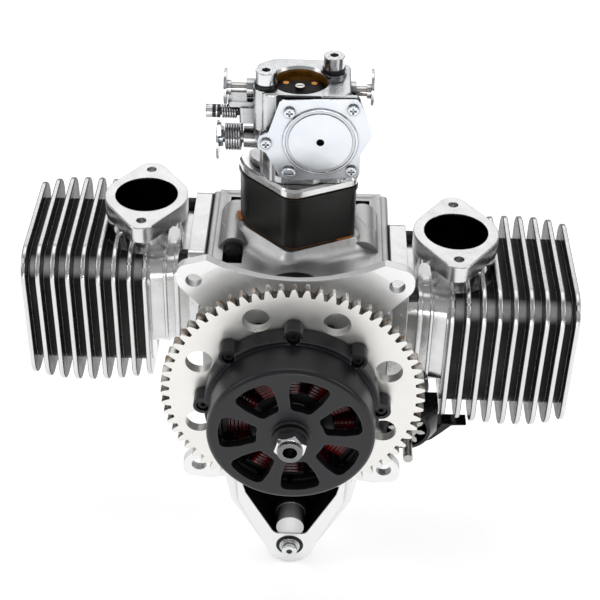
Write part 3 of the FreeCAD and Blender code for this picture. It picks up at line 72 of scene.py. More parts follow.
# ------------------------------------------------------------------ node helpers
class Mat:
    """a Principled material built up from small steps; all coordinates are the object's own, in metres"""
    def __init__(self, name, color=(0.8, 0.8, 0.8), metallic=1.0, rough=0.3):
        self.m = bpy.data.materials.new(name)
        self.m.use_nodes = True
        self.nt = self.m.node_tree
        self.N, self.L = self.nt.nodes, self.nt.links
        self.p = self.N["Principled BSDF"]
        self.p.inputs["Base Color"].default_value = (*color, 1)
        self.p.inputs["Metallic"].default_value = metallic
        self.p.inputs["Roughness"].default_value = rough
        self.color, self.rough = color, rough
        self.tc = self.N.new("ShaderNodeTexCoord")
        self.pos = self.tc.outputs["Object"]
        self.col_out = None
        self.rough_out = None
        self.nor_out = None

    def mapped(self, scale=(1, 1, 1), rot=(0, 0, 0), loc=(0, 0, 0)):
        mp = self.N.new("ShaderNodeMapping")
        mp.inputs["Scale"].default_value = scale
        mp.inputs["Rotation"].default_value = rot
        mp.inputs["Location"].default_value = loc
        self.L.new(self.pos, mp.inputs["Vector"])
        return mp.outputs["Vector"]

    def noise(self, scale, detail=3.0, rough=0.55, stretch=(1, 1, 1), rot=(0, 0, 0)):
        n = self.N.new("ShaderNodeTexNoise")
        n.inputs["Scale"].default_value = scale
        n.inputs["Detail"].default_value = detail
        n.inputs["Roughness"].default_value = rough
        self.L.new(self.mapped(stretch, rot), n.inputs["Vector"])
        return n.outputs["Fac"]

    def ramp(self, src, lo, hi, a=0.0, b=1.0):
        r = self.N.new("ShaderNodeMapRange")
        r.inputs["From Min"].default_value = lo
        r.inputs["From Max"].default_value = hi
        r.inputs["To Min"].default_value = a
        r.inputs["To Max"].default_value = b
        r.clamp = True
        self.L.new(src, r.inputs["Value"])
        return r.outputs["Result"]

    def math(self, op, a, b=None):
        n = self.N.new("ShaderNodeMath")
        n.operation = op
        for i, v in enumerate((a, b)):
            if v is None:
                continue
            if isinstance(v, (int, float)):
                n.inputs[i].default_value = v
            else:
                self.L.new(v, n.inputs[i])
        return n.outputs[0]

    def sep(self):
        s = self.N.new("ShaderNodeSeparateXYZ")
        self.L.new(self.pos, s.inputs[0])
        return s.outputs

    def mix(self, fac, a, b, blend="MIX"):
        """mix colours; a, b are sockets or (r, g, b)"""
        n = self.N.new("ShaderNodeMix")
        n.data_type = "RGBA"
        n.blend_type = blend
        if isinstance(fac, (int, float)):
            n.inputs[0].default_value = fac
        else:
            self.L.new(fac, n.inputs[0])
        for i, v in ((6, a), (7, b)):
            if isinstance(v, tuple):
                n.inputs[i].default_value = (*v, 1)
            else:
                self.L.new(v, n.inputs[i])
        return n.outputs[2]

    def col(self):
        return self.col_out if self.col_out is not None else self.color

    def rgh(self):
        return self.rough_out if self.rough_out is not None else self.rough

    # ---- steps
    def mottle(self, scale, amount, tint=None, detail=3.0, stretch=(1, 1, 1)):
        """slow colour change over the surface"""
        f = self.ramp(self.noise(scale, detail, stretch=stretch), 0.35, 0.68)
        t = tint if tint else tuple(c * (1 - amount) for c in self.color)
        k = self.math("MULTIPLY", f, 1.0 if tint is None else amount)
        self.col_out = self.mix(k, self.col(), t)
        return self

    def vary_rough(self, scale, amount, detail=4.0, stretch=(1, 1, 1), rot=(0, 0, 0)):
        f = self.ramp(self.noise(scale, detail, stretch=stretch, rot=rot), 0.3, 0.7, -amount, amount)
        self.rough_out = self.math("ADD", f, self.rgh())
        return self

    def edges(self, radius=0.00045, color=None, rough=None, strength=1.0, lo=0.90, hi=0.985):
        """brighter arrises, a painted highlight along every sharp edge; also gives every sharp edge a small round"""
        b = self.N.new("ShaderNodeBevel")
        b.samples = 4
        b.inputs["Radius"].default_value = radius
        g = self.N.new("ShaderNodeNewGeometry")
        d = self.N.new("ShaderNodeVectorMath")
        d.operation = "DOT_PRODUCT"
        self.L.new(b.outputs["Normal"], d.inputs[0])
        self.L.new(g.outputs["Normal"], d.inputs[1])
        e = self.ramp(d.outputs["Value"], lo, hi, strength, 0.0)
        w = self.math("MULTIPLY", e, self.ramp(self.noise(420, 3), 0.3, 0.6, 0.45, 1.0))
        if color is not None:
            self.col_out = self.mix(w, self.col(), color)
        if rough is not None:
            n = self.N.new("ShaderNodeMix")
            n.data_type = "FLOAT"
            self.L.new(w, n.inputs[0])
            r = self.rgh()
            if isinstance(r, (int, float)):
                n.inputs[2].default_value = r
            else:
                self.L.new(r, n.inputs[2])
            n.inputs[3].default_value = rough
            self.rough_out = n.outputs[0]
        self.nor_out = b.outputs["Normal"]
        return self

    def crevice_shade(self, distance=0.006, color=(0.03, 0.028, 0.025), amount=0.6, lo=0.25, hi=0.85):
        """painted shade: darker in corners and narrow gaps, from ambient occlusion"""
        a = self.N.new("ShaderNodeAmbientOcclusion")
        a.samples = 6
        a.inputs["Distance"].default_value = distance
        f = self.ramp(a.outputs["AO"], lo, hi, amount, 0.0)
        self.col_out = self.mix(f, self.col(), color)
        return self

    def bump(self, src, strength, distance):
        b = self.N.new("ShaderNodeBump")
        b.inputs["Strength"].default_value = strength
        b.inputs["Distance"].default_value = distance
        self.L.new(src, b.inputs["Height"])
        if self.nor_out is not None:
            self.L.new(self.nor_out, b.inputs["Normal"])
        self.nor_out = b.outputs["Normal"]
        return self

    def grain(self, scale, strength, distance, detail=2.0, stretch=(1, 1, 1), rot=(0, 0, 0)):
        return self.bump(self.noise(scale, detail, stretch=stretch, rot=rot), strength, distance)

    def rings(self, scale, strength, distance, axis="Y", offset=(0, 0, 0), distortion=0.4):
        """fine turning marks round an axis through offset"""
        w = self.N.new("ShaderNodeTexWave")
        w.wave_type = "RINGS"
        w.rings_direction = axis
        w.inputs["Scale"].default_value = scale
        w.inputs["Distortion"].default_value = distortion
        w.inputs["Detail"].default_value = 2.0
        self.L.new(self.mapped(loc=tuple(-v for v in offset)), w.inputs["Vector"])
        return self.bump(w.outputs["Fac"], strength, distance)

    def aniso(self, amount, rotation=0.0, axis=None):
        self.p.inputs["Anisotropic"].default_value = amount
        self.p.inputs["Anisotropic Rotation"].default_value = rotation
        if axis:
            t = self.N.new("ShaderNodeTangent")
            t.direction_type = "RADIAL"
            t.axis = axis
            self.L.new(t.outputs[0], self.p.inputs["Tangent"])
        return self

    def drive(self, name, src):
        self.L.new(src, self.p.inputs[name])
        return self

    def spec(self, v):
        self.p.inputs["Specular IOR Level"].default_value = v
        return self

    def coat(self, weight, rough=0.1):
        self.p.inputs["Coat Weight"].default_value = weight
        self.p.inputs["Coat Roughness"].default_value = rough
        return self

    def done(self):
        if self.col_out is not None:
            self.L.new(self.col_out, self.p.inputs["Base Color"])
        if self.rough_out is not None:
            self.L.new(self.rough_out, self.p.inputs["Roughness"])
        if self.nor_out is not None:
            self.L.new(self.nor_out, self.p.inputs["Normal"])
        return self.m


# ------------------------------------------------------------------ materials
def m_plate():
    m = Mat("plate_satin", (0.95, 0.95, 0.945), 0.55, 0.34)
    m.mottle(14, 0.04).vary_rough(60, 0.04)
    m.edges(0.0005, (0.98, 0.98, 0.975), 0.22, 0.9)
    # painted shade in corners and narrow gaps
    m.crevice_shade(0.014, (0.045, 0.045, 0.045), 0.85, 0.22, 0.72)
    # painted shade: walls whose normal points across are darker than the faces
    g = m.N.new("ShaderNodeNewGeometry")
    gn = m.N.new("ShaderNodeSeparateXYZ")
    m.L.new(g.outputs["Normal"], gn.inputs[0])
    side_wall_shade = m.math("MULTIPLY", m.ramp(m.math("ABSOLUTE", gn.outputs["Y"]), 0.5, 0.2), m.ramp(gn.outputs["Z"], 0.75, 0.35))
    m.col_out = m.mix(m.math("MULTIPLY", side_wall_shade, 0.7), m.col(), (0.30, 0.30, 0.30))
    # the pocket of the lower arm is coloured near-black, with the stepped boss left bare at its front
    q = m.sep()
    ax = m.math("ABSOLUTE", q["X"])
    hw = m.math("ADD", m.math("MULTIPLY", m.math("ADD", q["Z"], 0.1105), 0.52), 0.0089)
    hw = m.math("MINIMUM", hw, 0.0271)
    inside = m.math("MULTIPLY", m.ramp(m.math("SUBTRACT", hw, ax), -0.0002, 0.0001), m.ramp(q["Y"], 0.0004, 0.0009))
    inside = m.math("MULTIPLY", inside, m.math("MULTIPLY", m.ramp(q["Z"], -0.1112, -0.1108), m.ramp(q["Z"], -0.0692, -0.0696)))
    dz = m.math("ADD", q["Z"], 0.106)
    rb = m.math("SQRT", m.math("ADD", m.math("POWER", q["X"], 2), m.math("POWER", dz, 2)))
    front = m.math("MULTIPLY", m.ramp(rb, 0.0082, 0.0079, 0.0, 1.0), m.ramp(q["Y"], 0.0124, 0.0118, 0.0, 1.0))
    dark = m.math("MULTIPLY", inside, m.math("SUBTRACT", 1.0, front))
    # painted shade: the bare boss falls off to dark at its sides
    shade = m.math("MULTIPLY", m.math("MULTIPLY", inside, front), m.ramp(ax, 0.0015, 0.0072, 0.35, 0.96))
    m.col_out = m.mix(m.math("MAXIMUM", dark, shade), m.col(), (0.006, 0.006, 0.006))
    light = m.math("SUBTRACT", 1.0, m.math("MAXIMUM", dark, shade))
    m.drive("Specular IOR Level", m.math("MULTIPLY", light, 0.5)).drive("Metallic", m.math("MULTIPLY", light, 0.55))
    m.grain(900, 0.10, 0.0003).grain(5200, 0.12, 0.0001)
    return m.done()

HOLLOW_SHADOW_X = -0.003
def m_blasted():
    m = Mat("case_blasted", (0.60, 0.60, 0.595), 1.0, 0.40)
    m.mottle(22, 0.10).vary_rough(90, 0.05)
    m.edges(0.0007, (0.84, 0.84, 0.835), 0.28, 0.8)
    # painted shade in corners and narrow gaps
    m.crevice_shade(0.013, (0.04, 0.04, 0.038), 0.85, 0.3, 0.9)
    # painted shadow of a hollow just behind the mount plate
    q = m.sep()
    hx = m.math("DIVIDE", m.math("SUBTRACT", q["X"], HOLLOW_SHADOW_X), 0.0160)
    hy = m.math("DIVIDE", m.math("SUBTRACT", q["Y"], 0.0208), 0.0048)
    hr = m.math("ADD", m.math("POWER", hx, 2), m.math("POWER", hy, 2))
    m.col_out = m.mix(m.math("MULTIPLY", m.ramp(hr, 1.0, 0.60), 0.92), m.col(), (0.006, 0.006, 0.006))
    m.grain(1400, 0.16, 0.0003).grain(4200, 0.2, 0.00012)
    return m.done()

def m_fins(yc):
    """one casting: bright machined rims and flange, cast skin between; painted shade and dark reflection between the
    fins, with a painted highlight on the rounded corner of the core
    """
    m = Mat("cylinder_cast_" + ("r" if yc < 0.07 else "l"), (0.72, 0.72, 0.72), 1.0, 0.24)
    s = m.sep()
    g = m.N.new("ShaderNodeNewGeometry")
    gn = m.N.new("ShaderNodeSeparateXYZ")
    m.L.new(g.outputs["Normal"], gn.inputs[0])
    dy = m.math("SUBTRACT", s["Y"], yc)
    ax = m.math("ABSOLUTE", s["X"])
    r = m.math("SQRT", m.math("ADD", m.math("POWER", dy, 2), m.math("POWER", s["Z"], 2)))
    # painted shade and dark reflection on the fin faces and on the core between the fins
    side = m.ramp(m.math("ABSOLUTE", gn.outputs["X"]), 0.55, 0.75)
    inner = m.math("MAXIMUM", m.math("ABSOLUTE", m.math("SUBTRACT", s["Y"], yc)), m.math("ABSOLUTE", s["Z"]))
    core = m.math("MAXIMUM", m.ramp(inner, 0.0366, 0.0372, 1.0, 0.0), m.ramp(r, 0.0455, 0.046, 1.0, 0.0))
    core = m.math("MULTIPLY", core, m.ramp(inner, 0.0366, 0.0372, 1.0, 0.0))
    between = m.math("MULTIPLY", m.ramp(ax, 0.0775, 0.0785), m.ramp(ax, 0.1424, 0.1429, 1.0, 0.0))
    # the exhaust duct stays bright
    dx = m.math("SUBTRACT", ax, 0.081)
    rd = m.math("SQRT", m.math("ADD", m.math("POWER", dx, 2), m.math("POWER", dy, 2)))
    duct = m.math("MULTIPLY", m.ramp(rd, 0.0226, 0.0232, 1.0, 0.0), m.ramp(s["Z"], 0.022, 0.024))
    keep = m.math("SUBTRACT", 1.0, m.math("MAXIMUM", duct, m.ramp(s["Z"], 0.0462, 0.0468)))
    dark = m.math("MULTIPLY", m.math("MULTIPLY", m.math("MAXIMUM", side, core), between), keep)
    m.mottle(30, 0.10)
    # painted shade between the fins, lighter towards the top
    tone = m.mix(m.ramp(s["Z"], 0.026, 0.048, 0.0, 0.6), (0.010, 0.0095, 0.009), (0.06, 0.055, 0.05))
    tone = m.mix(m.math("MULTIPLY", m.ramp(m.noise(70, 3, stretch=(0.3, 1, 0.3)), 0.50, 0.72), 0.35), tone, (0.10, 0.09, 0.085))
    # painted highlight on the rounded corner of the core between the fins
    bevel = m.math("ADD", m.math("MULTIPLY", gn.outputs["Y"], -0.707), m.math("MULTIPLY", gn.outputs["Z"], 0.707))
    shoulder = m.math("MULTIPLY", m.math("POWER", m.ramp(bevel, 0.90, 0.995), 1.6), m.ramp(m.noise(160, 2), 0.2, 0.7, 0.72, 1.0))
    shoulder = m.math("MULTIPLY", shoulder, m.ramp(m.math("ABSOLUTE", gn.outputs["X"]), 0.35, 0.2))
    tone = m.mix(shoulder, tone, (0.86, 0.85, 0.84))
    dark = m.math("MULTIPLY", dark, 0.985)
    m.col_out = m.mix(dark, m.col(), tone)
    light = m.math("SUBTRACT", 1.0, dark)
    m.drive("Metallic", light).drive("Specular IOR Level", m.math("MULTIPLY", m.math("ADD", light, 0.12), 0.5))
    m.vary_rough(130, 0.05)
    # the bore of the port is nearly black with soot
    soot = m.math("MULTIPLY", m.ramp(rd, 0.01655, 0.0167, 1.0, 0.0), m.ramp(s["Z"], 0.0556, 0.0545))
    m.col_out = m.mix(soot, m.col_out, (0.012, 0.012, 0.012))
    m.edges(0.0005, (0.93, 0.93, 0.93), 0.2, 0.8)
    # painted shade in corners and narrow gaps
    m.crevice_shade(0.003, (0.03, 0.03, 0.03), 0.45, 0.1, 0.6)
    m.grain(260, 0.10, 0.0006).grain(2200, 0.10, 0.0002)
    return m.done()

def m_machined(name="alu_turned", color=(0.80, 0.80, 0.80), axis="Y", offset=(0, 0, 0), rough=0.22):
    m = Mat(name, color, 1.0, rough)
    m.mottle(40, 0.05).vary_rough(200, 0.04)
    m.edges(0.00035, (0.95, 0.95, 0.95), 0.16, 0.8)
    # painted shade in corners and narrow gaps
    m.crevice_shade(0.004, (0.05, 0.05, 0.05), 0.6)
    m.rings(420, 0.10, 0.0001, axis, offset)
    return m.done()

def m_gear():
    m = Mat("gear_cut", (0.86, 0.85, 0.815), 0.8, 0.32)
    s = m.sep()
    r = m.math("SQRT", m.math("ADD", m.math("POWER", s["X"], 2), m.math("POWER", s["Z"], 2)))
    m.mottle(18, 0.06).vary_rough(120, 0.05)
    # straw and brown heat tint between the teeth
    g = m.N.new("ShaderNodeNewGeometry")
    gn = m.N.new("ShaderNodeSeparateXYZ")
    m.L.new(g.outputs["Normal"], gn.inputs[0])
    flank = m.ramp(m.math("ABSOLUTE", gn.outputs["Y"]), 0.7, 0.3)
    band = m.math("MULTIPLY", m.math("MULTIPLY", m.ramp(r, 0.0606, 0.0616), flank), m.ramp(m.noise(230, 2), 0.36, 0.60))
    m.col_out = m.mix(m.math("MULTIPLY", band, 0.85), m.col(), (0.17, 0.095, 0.035))
    # painted shade on the flanks at the roots between the teeth
    root = m.math("MULTIPLY", m.math("MULTIPLY", m.ramp(r, 0.0606, 0.0612), m.ramp(r, 0.0640, 0.0618)), flank)
    m.col_out = m.mix(m.math("MULTIPLY", root, 0.85), m.col(), (0.03, 0.025, 0.02))
    m.edges(0.0003, (0.97, 0.965, 0.945), 0.2, 0.8)
    # painted shade in corners and narrow gaps
    m.crevice_shade(0.0025, (0.05, 0.04, 0.03), 0.8)
    m.grain(700, 0.10, 0.0002, stretch=(1, 1, 6)).grain(3600, 0.12, 0.0001)
    return m.done()

def m_anodised():
    m = Mat("bell_anodised", (0.0085, 0.0092, 0.0112), 0.0, 0.34)
    m.mottle(30, 0.25).vary_rough(160, 0.05)
    m.edges(0.0007, (0.09, 0.10, 0.115), 0.22, 0.9, 0.86, 0.98)
    # painted shade in corners and narrow gaps
    m.crevice_shade(0.005, (0.002, 0.002, 0.002), 0.8)
    m.rings(300, 0.10, 0.00008, "Y").grain(3000, 0.08, 0.0001)
    m.spec(0.42)
    return m.done()

def m_black(name, color=(0.008, 0.008, 0.009), rough=0.36, metallic=0.0, edge=(0.05, 0.05, 0.052)):
    m = Mat(name, color, metallic, rough)
    m.mottle(60, 0.3).vary_rough(300, 0.08)
    m.edges(0.0003, edge, 0.25, 0.8)
    m.grain(2600, 0.15, 0.0001)
    m.spec(0.35)
    return m.done()

def m_steel(name, color=(0.52, 0.52, 0.53), rough=0.27, edge=(0.85, 0.85, 0.86), grain=0.1):
    m = Mat(name, color, 1.0, rough)
    m.mottle(90, 0.14).vary_rough(260, 0.07)
    m.edges(0.0003, edge, 0.18, 0.8)
    # painted shade in corners and narrow gaps
    m.crevice_shade(0.003, (0.03, 0.03, 0.03), 0.7)
    m.grain(2200, grain, 0.0001)
    return m.done()

def m_carb():
    m = Mat("carb_cast", (0.70, 0.705, 0.715), 1.0, 0.25)
    m.mottle(60, 0.16).vary_rough(200, 0.07)
    m.edges(0.0005, (0.93, 0.93, 0.94), 0.2, 0.9)
    # painted shade in corners and narrow gaps
    m.crevice_shade(0.012, (0.010, 0.010, 0.011), 0.95, 0.35, 0.95)
    g = m.N.new("ShaderNodeNewGeometry")
    gn = m.N.new("ShaderNodeSeparateXYZ")
    m.L.new(g.outputs["Normal"], gn.inputs[0])
    # painted shade: faces that point up are darker
    m.col_out = m.mix(m.math("MULTIPLY", m.ramp(gn.outputs["Z"], 0.85, 0.97), 0.75), m.col(), (0.60, 0.61, 0.62))
    # painted shadow in the gap behind the metering cover
    q0 = m.sep()
    joint_shadow = m.math("MULTIPLY", m.ramp(q0["Y"], 0.0522, 0.0518), m.ramp(q0["Z"], 0.0884, 0.0890))
    m.col_out = m.mix(m.math("MULTIPLY", joint_shadow, 0.97), m.col(), (0.004, 0.004, 0.0045))
    # fuel-stained throat with painted shade and light: near-black at the front, amber towards the back where light
    # reaches it
    q = m.sep()
    dx, dy = m.math("ADD", q["X"], 0.001), m.math("SUBTRACT", q["Y"], 0.068)
    r = m.math("SQRT", m.math("ADD", m.math("POWER", dx, 2), m.math("POWER", dy, 2)))
    throat = m.math("MULTIPLY", m.ramp(r, 0.01385, 0.0136), m.ramp(q["Z"], 0.1336, 0.1330))
    amber = m.mix(m.math("MULTIPLY", m.ramp(q["Y"], 0.064, 0.0808), m.ramp(m.noise(190, 3), 0.25, 0.65, 0.5, 1.0)), (0.010, 0.005, 0.002), (0.20, 0.085, 0.010))
    m.col_out = m.mix(throat, m.col(), amber)
    light = m.math("SUBTRACT", 1.0, throat)
    m.drive("Metallic", light).drive("Specular IOR Level", m.math("MULTIPLY", m.math("ADD", light, 0.15), 0.5))
    m.grain(380, 0.12, 0.0005).grain(2400, 0.14, 0.00015)
    return m.done()

def m_choke():
    m = Mat("choke_stained", (0.006, 0.003, 0.001), 0.0, 0.35)
    q = m.sep()
    m.mottle(160, 0.5)
    # painted shade and light on the stained plate: near-black at the front, amber towards the back
    m.col_out = m.mix(m.math("MULTIPLY", m.ramp(q["Y"], 0.0735, 0.0806), m.ramp(m.noise(170, 3), 0.25, 0.65, 0.45, 1.0)), m.col(), (0.15, 0.062, 0.008))
    ax = m.math("SUBTRACT", m.math("ABSOLUTE", m.math("ADD", q["X"], 0.001)), 0.007)
    dy = m.math("SUBTRACT", q["Y"], 0.0735)
    r = m.math("SQRT", m.math("ADD", m.math("POWER", ax, 2), m.math("POWER", dy, 2)))
    # painted light: bright orange rings round the two holes, where light shows through
    m.col_out = m.mix(m.ramp(r, 0.00165, 0.0013), m.col(), (0.95, 0.42, 0.10))
    m.vary_rough(300, 0.06).spec(0.08).grain(1800, 0.10, 0.0001)
    return m.done()

def m_idle():
    """black sleeve with a bright knurled end"""
    m = Mat("idle_knob", (0.008, 0.008, 0.009), 0.0, 0.3)
    q = m.sep()
    end = m.ramp(q["X"], -0.0438, -0.0440)
    ring = m.math("MULTIPLY", m.ramp(q["X"], -0.0414, -0.0416), m.ramp(q["X"], -0.0422, -0.0420))
    b = m.math("MAXIMUM", end, ring)
    m.mottle(200, 0.4)
    m.col_out = m.mix(b, m.col(), (0.72, 0.72, 0.74))
    m.drive("Metallic", b)
    m.edges(0.0003, None, 0.2, 0.8)
    m.bump(m.noise(1300, 1, stretch=(0.12, 1, 1)), 0.9, 0.0004)
    return m.done()

VENT = (0.0098, 0.1110)
def m_zinc():
    m = Mat("cover_zinc", (0.80, 0.83, 0.87), 1.0, 0.20)
    m.mottle(70, 0.35, (0.62, 0.69, 0.80)).mottle(130, 0.16, (0.84, 0.80, 0.74))
    m.vary_rough(120, 0.06)
    m.edges(0.0004, (0.95, 0.96, 0.98), 0.14, 0.8)
    # painted shade in corners and narrow gaps
    m.crevice_shade(0.0045, (0.02, 0.022, 0.027), 0.92, 0.3, 0.92)
    # painted shade: a near-black disc round the vent hole, wider than the hole itself
    q = m.sep()
    vx, vz = m.math("SUBTRACT", q["X"], VENT[0]), m.math("SUBTRACT", q["Z"], VENT[1])
    vr = m.math("SQRT", m.math("ADD", m.math("POWER", vx, 2), m.math("POWER", vz, 2)))
    m.col_out = m.mix(m.ramp(vr, 0.0021, 0.0018), m.col(), (0.003, 0.003, 0.003))
    m.grain(300, 0.05, 0.0004).grain(2600, 0.06, 0.0001, stretch=(1, 1, 8), rot=(0, 0.35, 0))
    return m.done()

def m_brass():
    m = Mat("brass_amber", (0.42, 0.23, 0.055), 1.0, 0.24)
    m.mottle(120, 0.55, (0.16, 0.075, 0.02)).vary_rough(260, 0.08)
    m.edges(0.0003, (0.8, 0.58, 0.25), 0.16, 0.7)
    m.grain(1800, 0.10, 0.0001, stretch=(1, 5, 1))
    return m.done()

def m_block():
    m = Mat("block_moulded", (0.0075, 0.0072, 0.0056), 0.0, 0.34)
    m.mottle(35, 0.35).vary_rough(140, 0.06)
    m.edges(0.0006, (0.03, 0.029, 0.025), 0.28, 0.9)
    m.grain(900, 0.07, 0.0003).grain(4200, 0.1, 0.0001)
    m.spec(0.38)
    return m.done()

def m_gasket():
    m = Mat("gasket_fibre", (0.52, 0.20, 0.05), 0.0, 0.75)
    m.mottle(300, 0.5, (0.30, 0.10, 0.03)).grain(1800, 0.5, 0.0002)
    # the cylinder joints use plain grey fibre
    m.col_out = m.mix(m.ramp(m.math("ABSOLUTE", m.sep()["X"]), 0.040, 0.042), m.col(), (0.22, 0.22, 0.215))
    return m.done()

def m_rubber():
    m = Mat("rubber_black", (0.012, 0.012, 0.012), 0.0, 0.5)
    m.mottle(150, 0.4).vary_rough(300, 0.08)
    m.edges(0.0004, (0.05, 0.05, 0.05), 0.35, 0.7)
    m.grain(2200, 0.2, 0.0001)
    m.spec(0.3)
    return m.done()

def m_winding():
    m = Mat("winding_enamel", (0.17, 0.004, 0.006), 0.0, 0.22)
    # painted shade: near-black patches over most of the red enamel
    m.mottle(45, 0.97, (0.004, 0.002, 0.002)).mottle(110, 0.85, (0.006, 0.002, 0.002)).vary_rough(500, 0.08)
    m.spec(0.5).coat(0.3, 0.1)
    return m.done()

def m_ceramic():
    m = Mat("ceramic_glaze", (0.84, 0.84, 0.82), 0.0, 0.12)
    m.mottle(80, 0.06).grain(500, 0.04, 0.0003)
    m.coat(0.5, 0.05)
    return m.done()

def m_chrome():
    m = Mat("nut_chrome", (0.82, 0.82, 0.84), 1.0, 0.11)
    m.mottle(120, 0.08).vary_rough(300, 0.04)
    m.edges(0.0004, (0.97, 0.97, 0.98), 0.08, 0.8)
    # painted shade in corners and narrow gaps
    m.crevice_shade(0.003, (0.02, 0.02, 0.02), 0.7)
    m.grain(1800, 0.04, 0.0001)
    return m.done()

MATS = {
    "white_plate": m_plate(), "blasted_alu": m_blasted(), "machined_alu": m_machined(),
    "gear_steel": m_gear(), "screw_steel": m_steel("screw_steel_v"),
    "bare_steel": m_steel("bare_steel_v", (0.46, 0.45, 0.43), 0.3, (0.75, 0.74, 0.72)),
    "black_steel": m_black("black_oxide"), "black_anodised": m_anodised(), "chrome_nut": m_chrome(), "brass": m_brass(),
    "copper_red": m_winding(), "core_steel": m_black("core_lacquer", (0.03, 0.03, 0.032), 0.35, 0.6),
    "block_black": m_block(), "gasket_paper": m_gasket(), "rubber": m_rubber(), "ceramic": m_ceramic(),
    "carb_alu": m_carb(), "zinc_steel": m_zinc(),
}
CAST = {"cylinder_right": m_fins(0.056), "cylinder_left": m_fins(0.082)}
BRIGHT_SCREW = m_steel("screw_bright", (0.78, 0.79, 0.80), 0.17, (0.95, 0.95, 0.96), 0.05)
def m_knurled():
    m = Mat("screw_knurled", (0.80, 0.81, 0.82), 1.0, 0.18)
    m.mottle(120, 0.10).vary_rough(300, 0.05)
    m.edges(0.0004, (0.96, 0.96, 0.97), 0.14, 0.8)
    # painted shade in corners and narrow gaps
    m.crevice_shade(0.003, (0.01, 0.01, 0.01), 0.9)
    m.bump(m.noise(1500, 1, stretch=(1, 1, 0.04)), 0.55, 0.0003)
    return m.done()
def m_arm_back():
    m = Mat("arm_back", (0.90, 0.90, 0.895), 0.6, 0.36)
    m.mottle(14, 0.05).vary_rough(60, 0.04).edges(0.0005, (0.96, 0.96, 0.955), 0.22, 0.9)
    q = m.sep()
    dark = m.math("MULTIPLY", m.ramp(q["Y"], 0.0216, 0.0213), m.ramp(q["Z"], -0.1112, -0.1108))
    m.col_out = m.mix(dark, m.col(), (0.005, 0.005, 0.005))
    light = m.math("SUBTRACT", 1.0, dark)
    m.drive("Specular IOR Level", m.math("MULTIPLY", light, 0.5)).drive("Metallic", m.math("MULTIPLY", light, 0.6))
    m.grain(900, 0.10, 0.0003)
    return m.done()
SPECIAL = {"carb_screws": m_knurled(), "lower_bolt": BRIGHT_SCREW, "case_and_cylinder_screws": MATS["black_steel"],
           "choke_plate": m_choke(), "idle_speed_screw": m_idle(), "lower_arm_back": m_arm_back(),
           # the crankshaft is coloured dark steel as painted shade inside the rotor nut
           "starter_nose": m_black("starter_gloss", (0.006, 0.006, 0.007), 0.24), "crankshaft": m_steel("shaft_dark", (0.20, 0.20, 0.20), 0.22, (0.6, 0.6, 0.6)), "mount_plate_screws": MATS["black_steel"],
           "choke_shaft": m_steel("shaft_bright", (0.66, 0.64, 0.62), 0.2), "choke_levers": m_steel("lever_bright", (0.72, 0.72, 0.73), 0.2)}
SLOT = {s["node"]: s["material_slot"] for s in frame["record"]["subparts"]}
for n, o in NODES.items():
    mat = CAST.get(n) or SPECIAL.get(n) or MATS[SLOT[n]]
    for i in range(len(o.material_slots)):
        o.material_slots[i].material = mat

# ------------------------------------------------------------------ new pieces
def new_mesh(name, verts, faces, smooth=True):
    me = bpy.data.meshes.new(name)
    me.from_pydata([tuple(v) for v in verts], [], faces)
    me.validate()
    if smooth:
        for p in me.polygons:
            p.use_smooth = True
    o = bpy.data.objects.new(name, me)
    bpy.context.scene.collection.objects.link(o)
    return o

def place(o, node, material):
    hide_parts(node)
    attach(o, BODY[node])
    o.data.materials.append(material)

def tube(path, r, sides=8, closed=False):
    """round wire along a list of points"""
    n = len(path)
    V_, F_ = [], []
    prev = None
    for i, p in enumerate(path):
        a = path[(i - 1) % n] if (closed or i) else p
        b = path[(i + 1) % n] if (closed or i < n - 1) else p
        t = (b - a).normalized()
        if prev is None:
            ref = Vector((0, 0, 1)) if abs(t.z) < 0.9 else Vector((1, 0, 0))
            u = t.cross(ref).normalized()
        else:
            u = (prev - t * prev.dot(t)).normalized()
        prev = u
        w = t.cross(u)
        for k in range(sides):
            q = 2 * math.pi * k / sides
            V_.append(p + u * (r * math.cos(q)) + w * (r * math.sin(q)))
    rows = n if closed else n - 1
    for i in range(rows):
        for k in range(sides):
            a, b = i * sides + k, i * sides + (k + 1) % sides
            j = ((i + 1) % n) * sides
            F_.append((a, b, j + (k + 1) % sides, j + k))
    if not closed:
        F_.append(tuple(range(sides - 1, -1, -1)))
        F_.append(tuple((n - 1) * sides + k for k in range(sides)))
    return V_, F_

def merge(parts):
    V_, F_ = [], []
    for v, f in parts:
        b = len(V_)
        V_ += v
        F_ += [tuple(i + b for i in q) for q in f]
    return V_, F_

def revolve(profile, centre, axis, sides=64):
    """profile: (distance along axis, radius) from one end to the other, closed on the axis"""
    c = Vector(centre)
    a = {"X": Vector((1, 0, 0)), "Y": Vector((0, 1, 0)), "Z": Vector((0, 0, 1))}[axis]
    u = {"X": Vector((0, 1, 0)), "Y": Vector((0, 0, 1)), "Z": Vector((1, 0, 0))}[axis]
    w = a.cross(u)
    V_, F_, rows = [], [], []
    for d, r in profile:
        if r <= 1e-9:
            rows.append([len(V_)])
            V_.append(c + a * d)
        else:
            rows.append(list(range(len(V_), len(V_) + sides)))
            for k in range(sides):
                q = 2 * math.pi * k / sides
                V_.append(c + a * d + u * (r * math.cos(q)) + w * (r * math.sin(q)))
    for i in range(len(rows) - 1):
        A, B = rows[i], rows[i + 1]
        for k in range(sides):
            k2 = (k + 1) % sides
            if len(A) == 1 and len(B) == 1:
                continue
            if len(A) == 1:
                F_.append((A[0], B[k2], B[k]))
            elif len(B) == 1:
                F_.append((A[k], A[k2], B[0]))
            else:
                F_.append((A[k], A[k2], B[k2], B[k]))
    return V_, F_

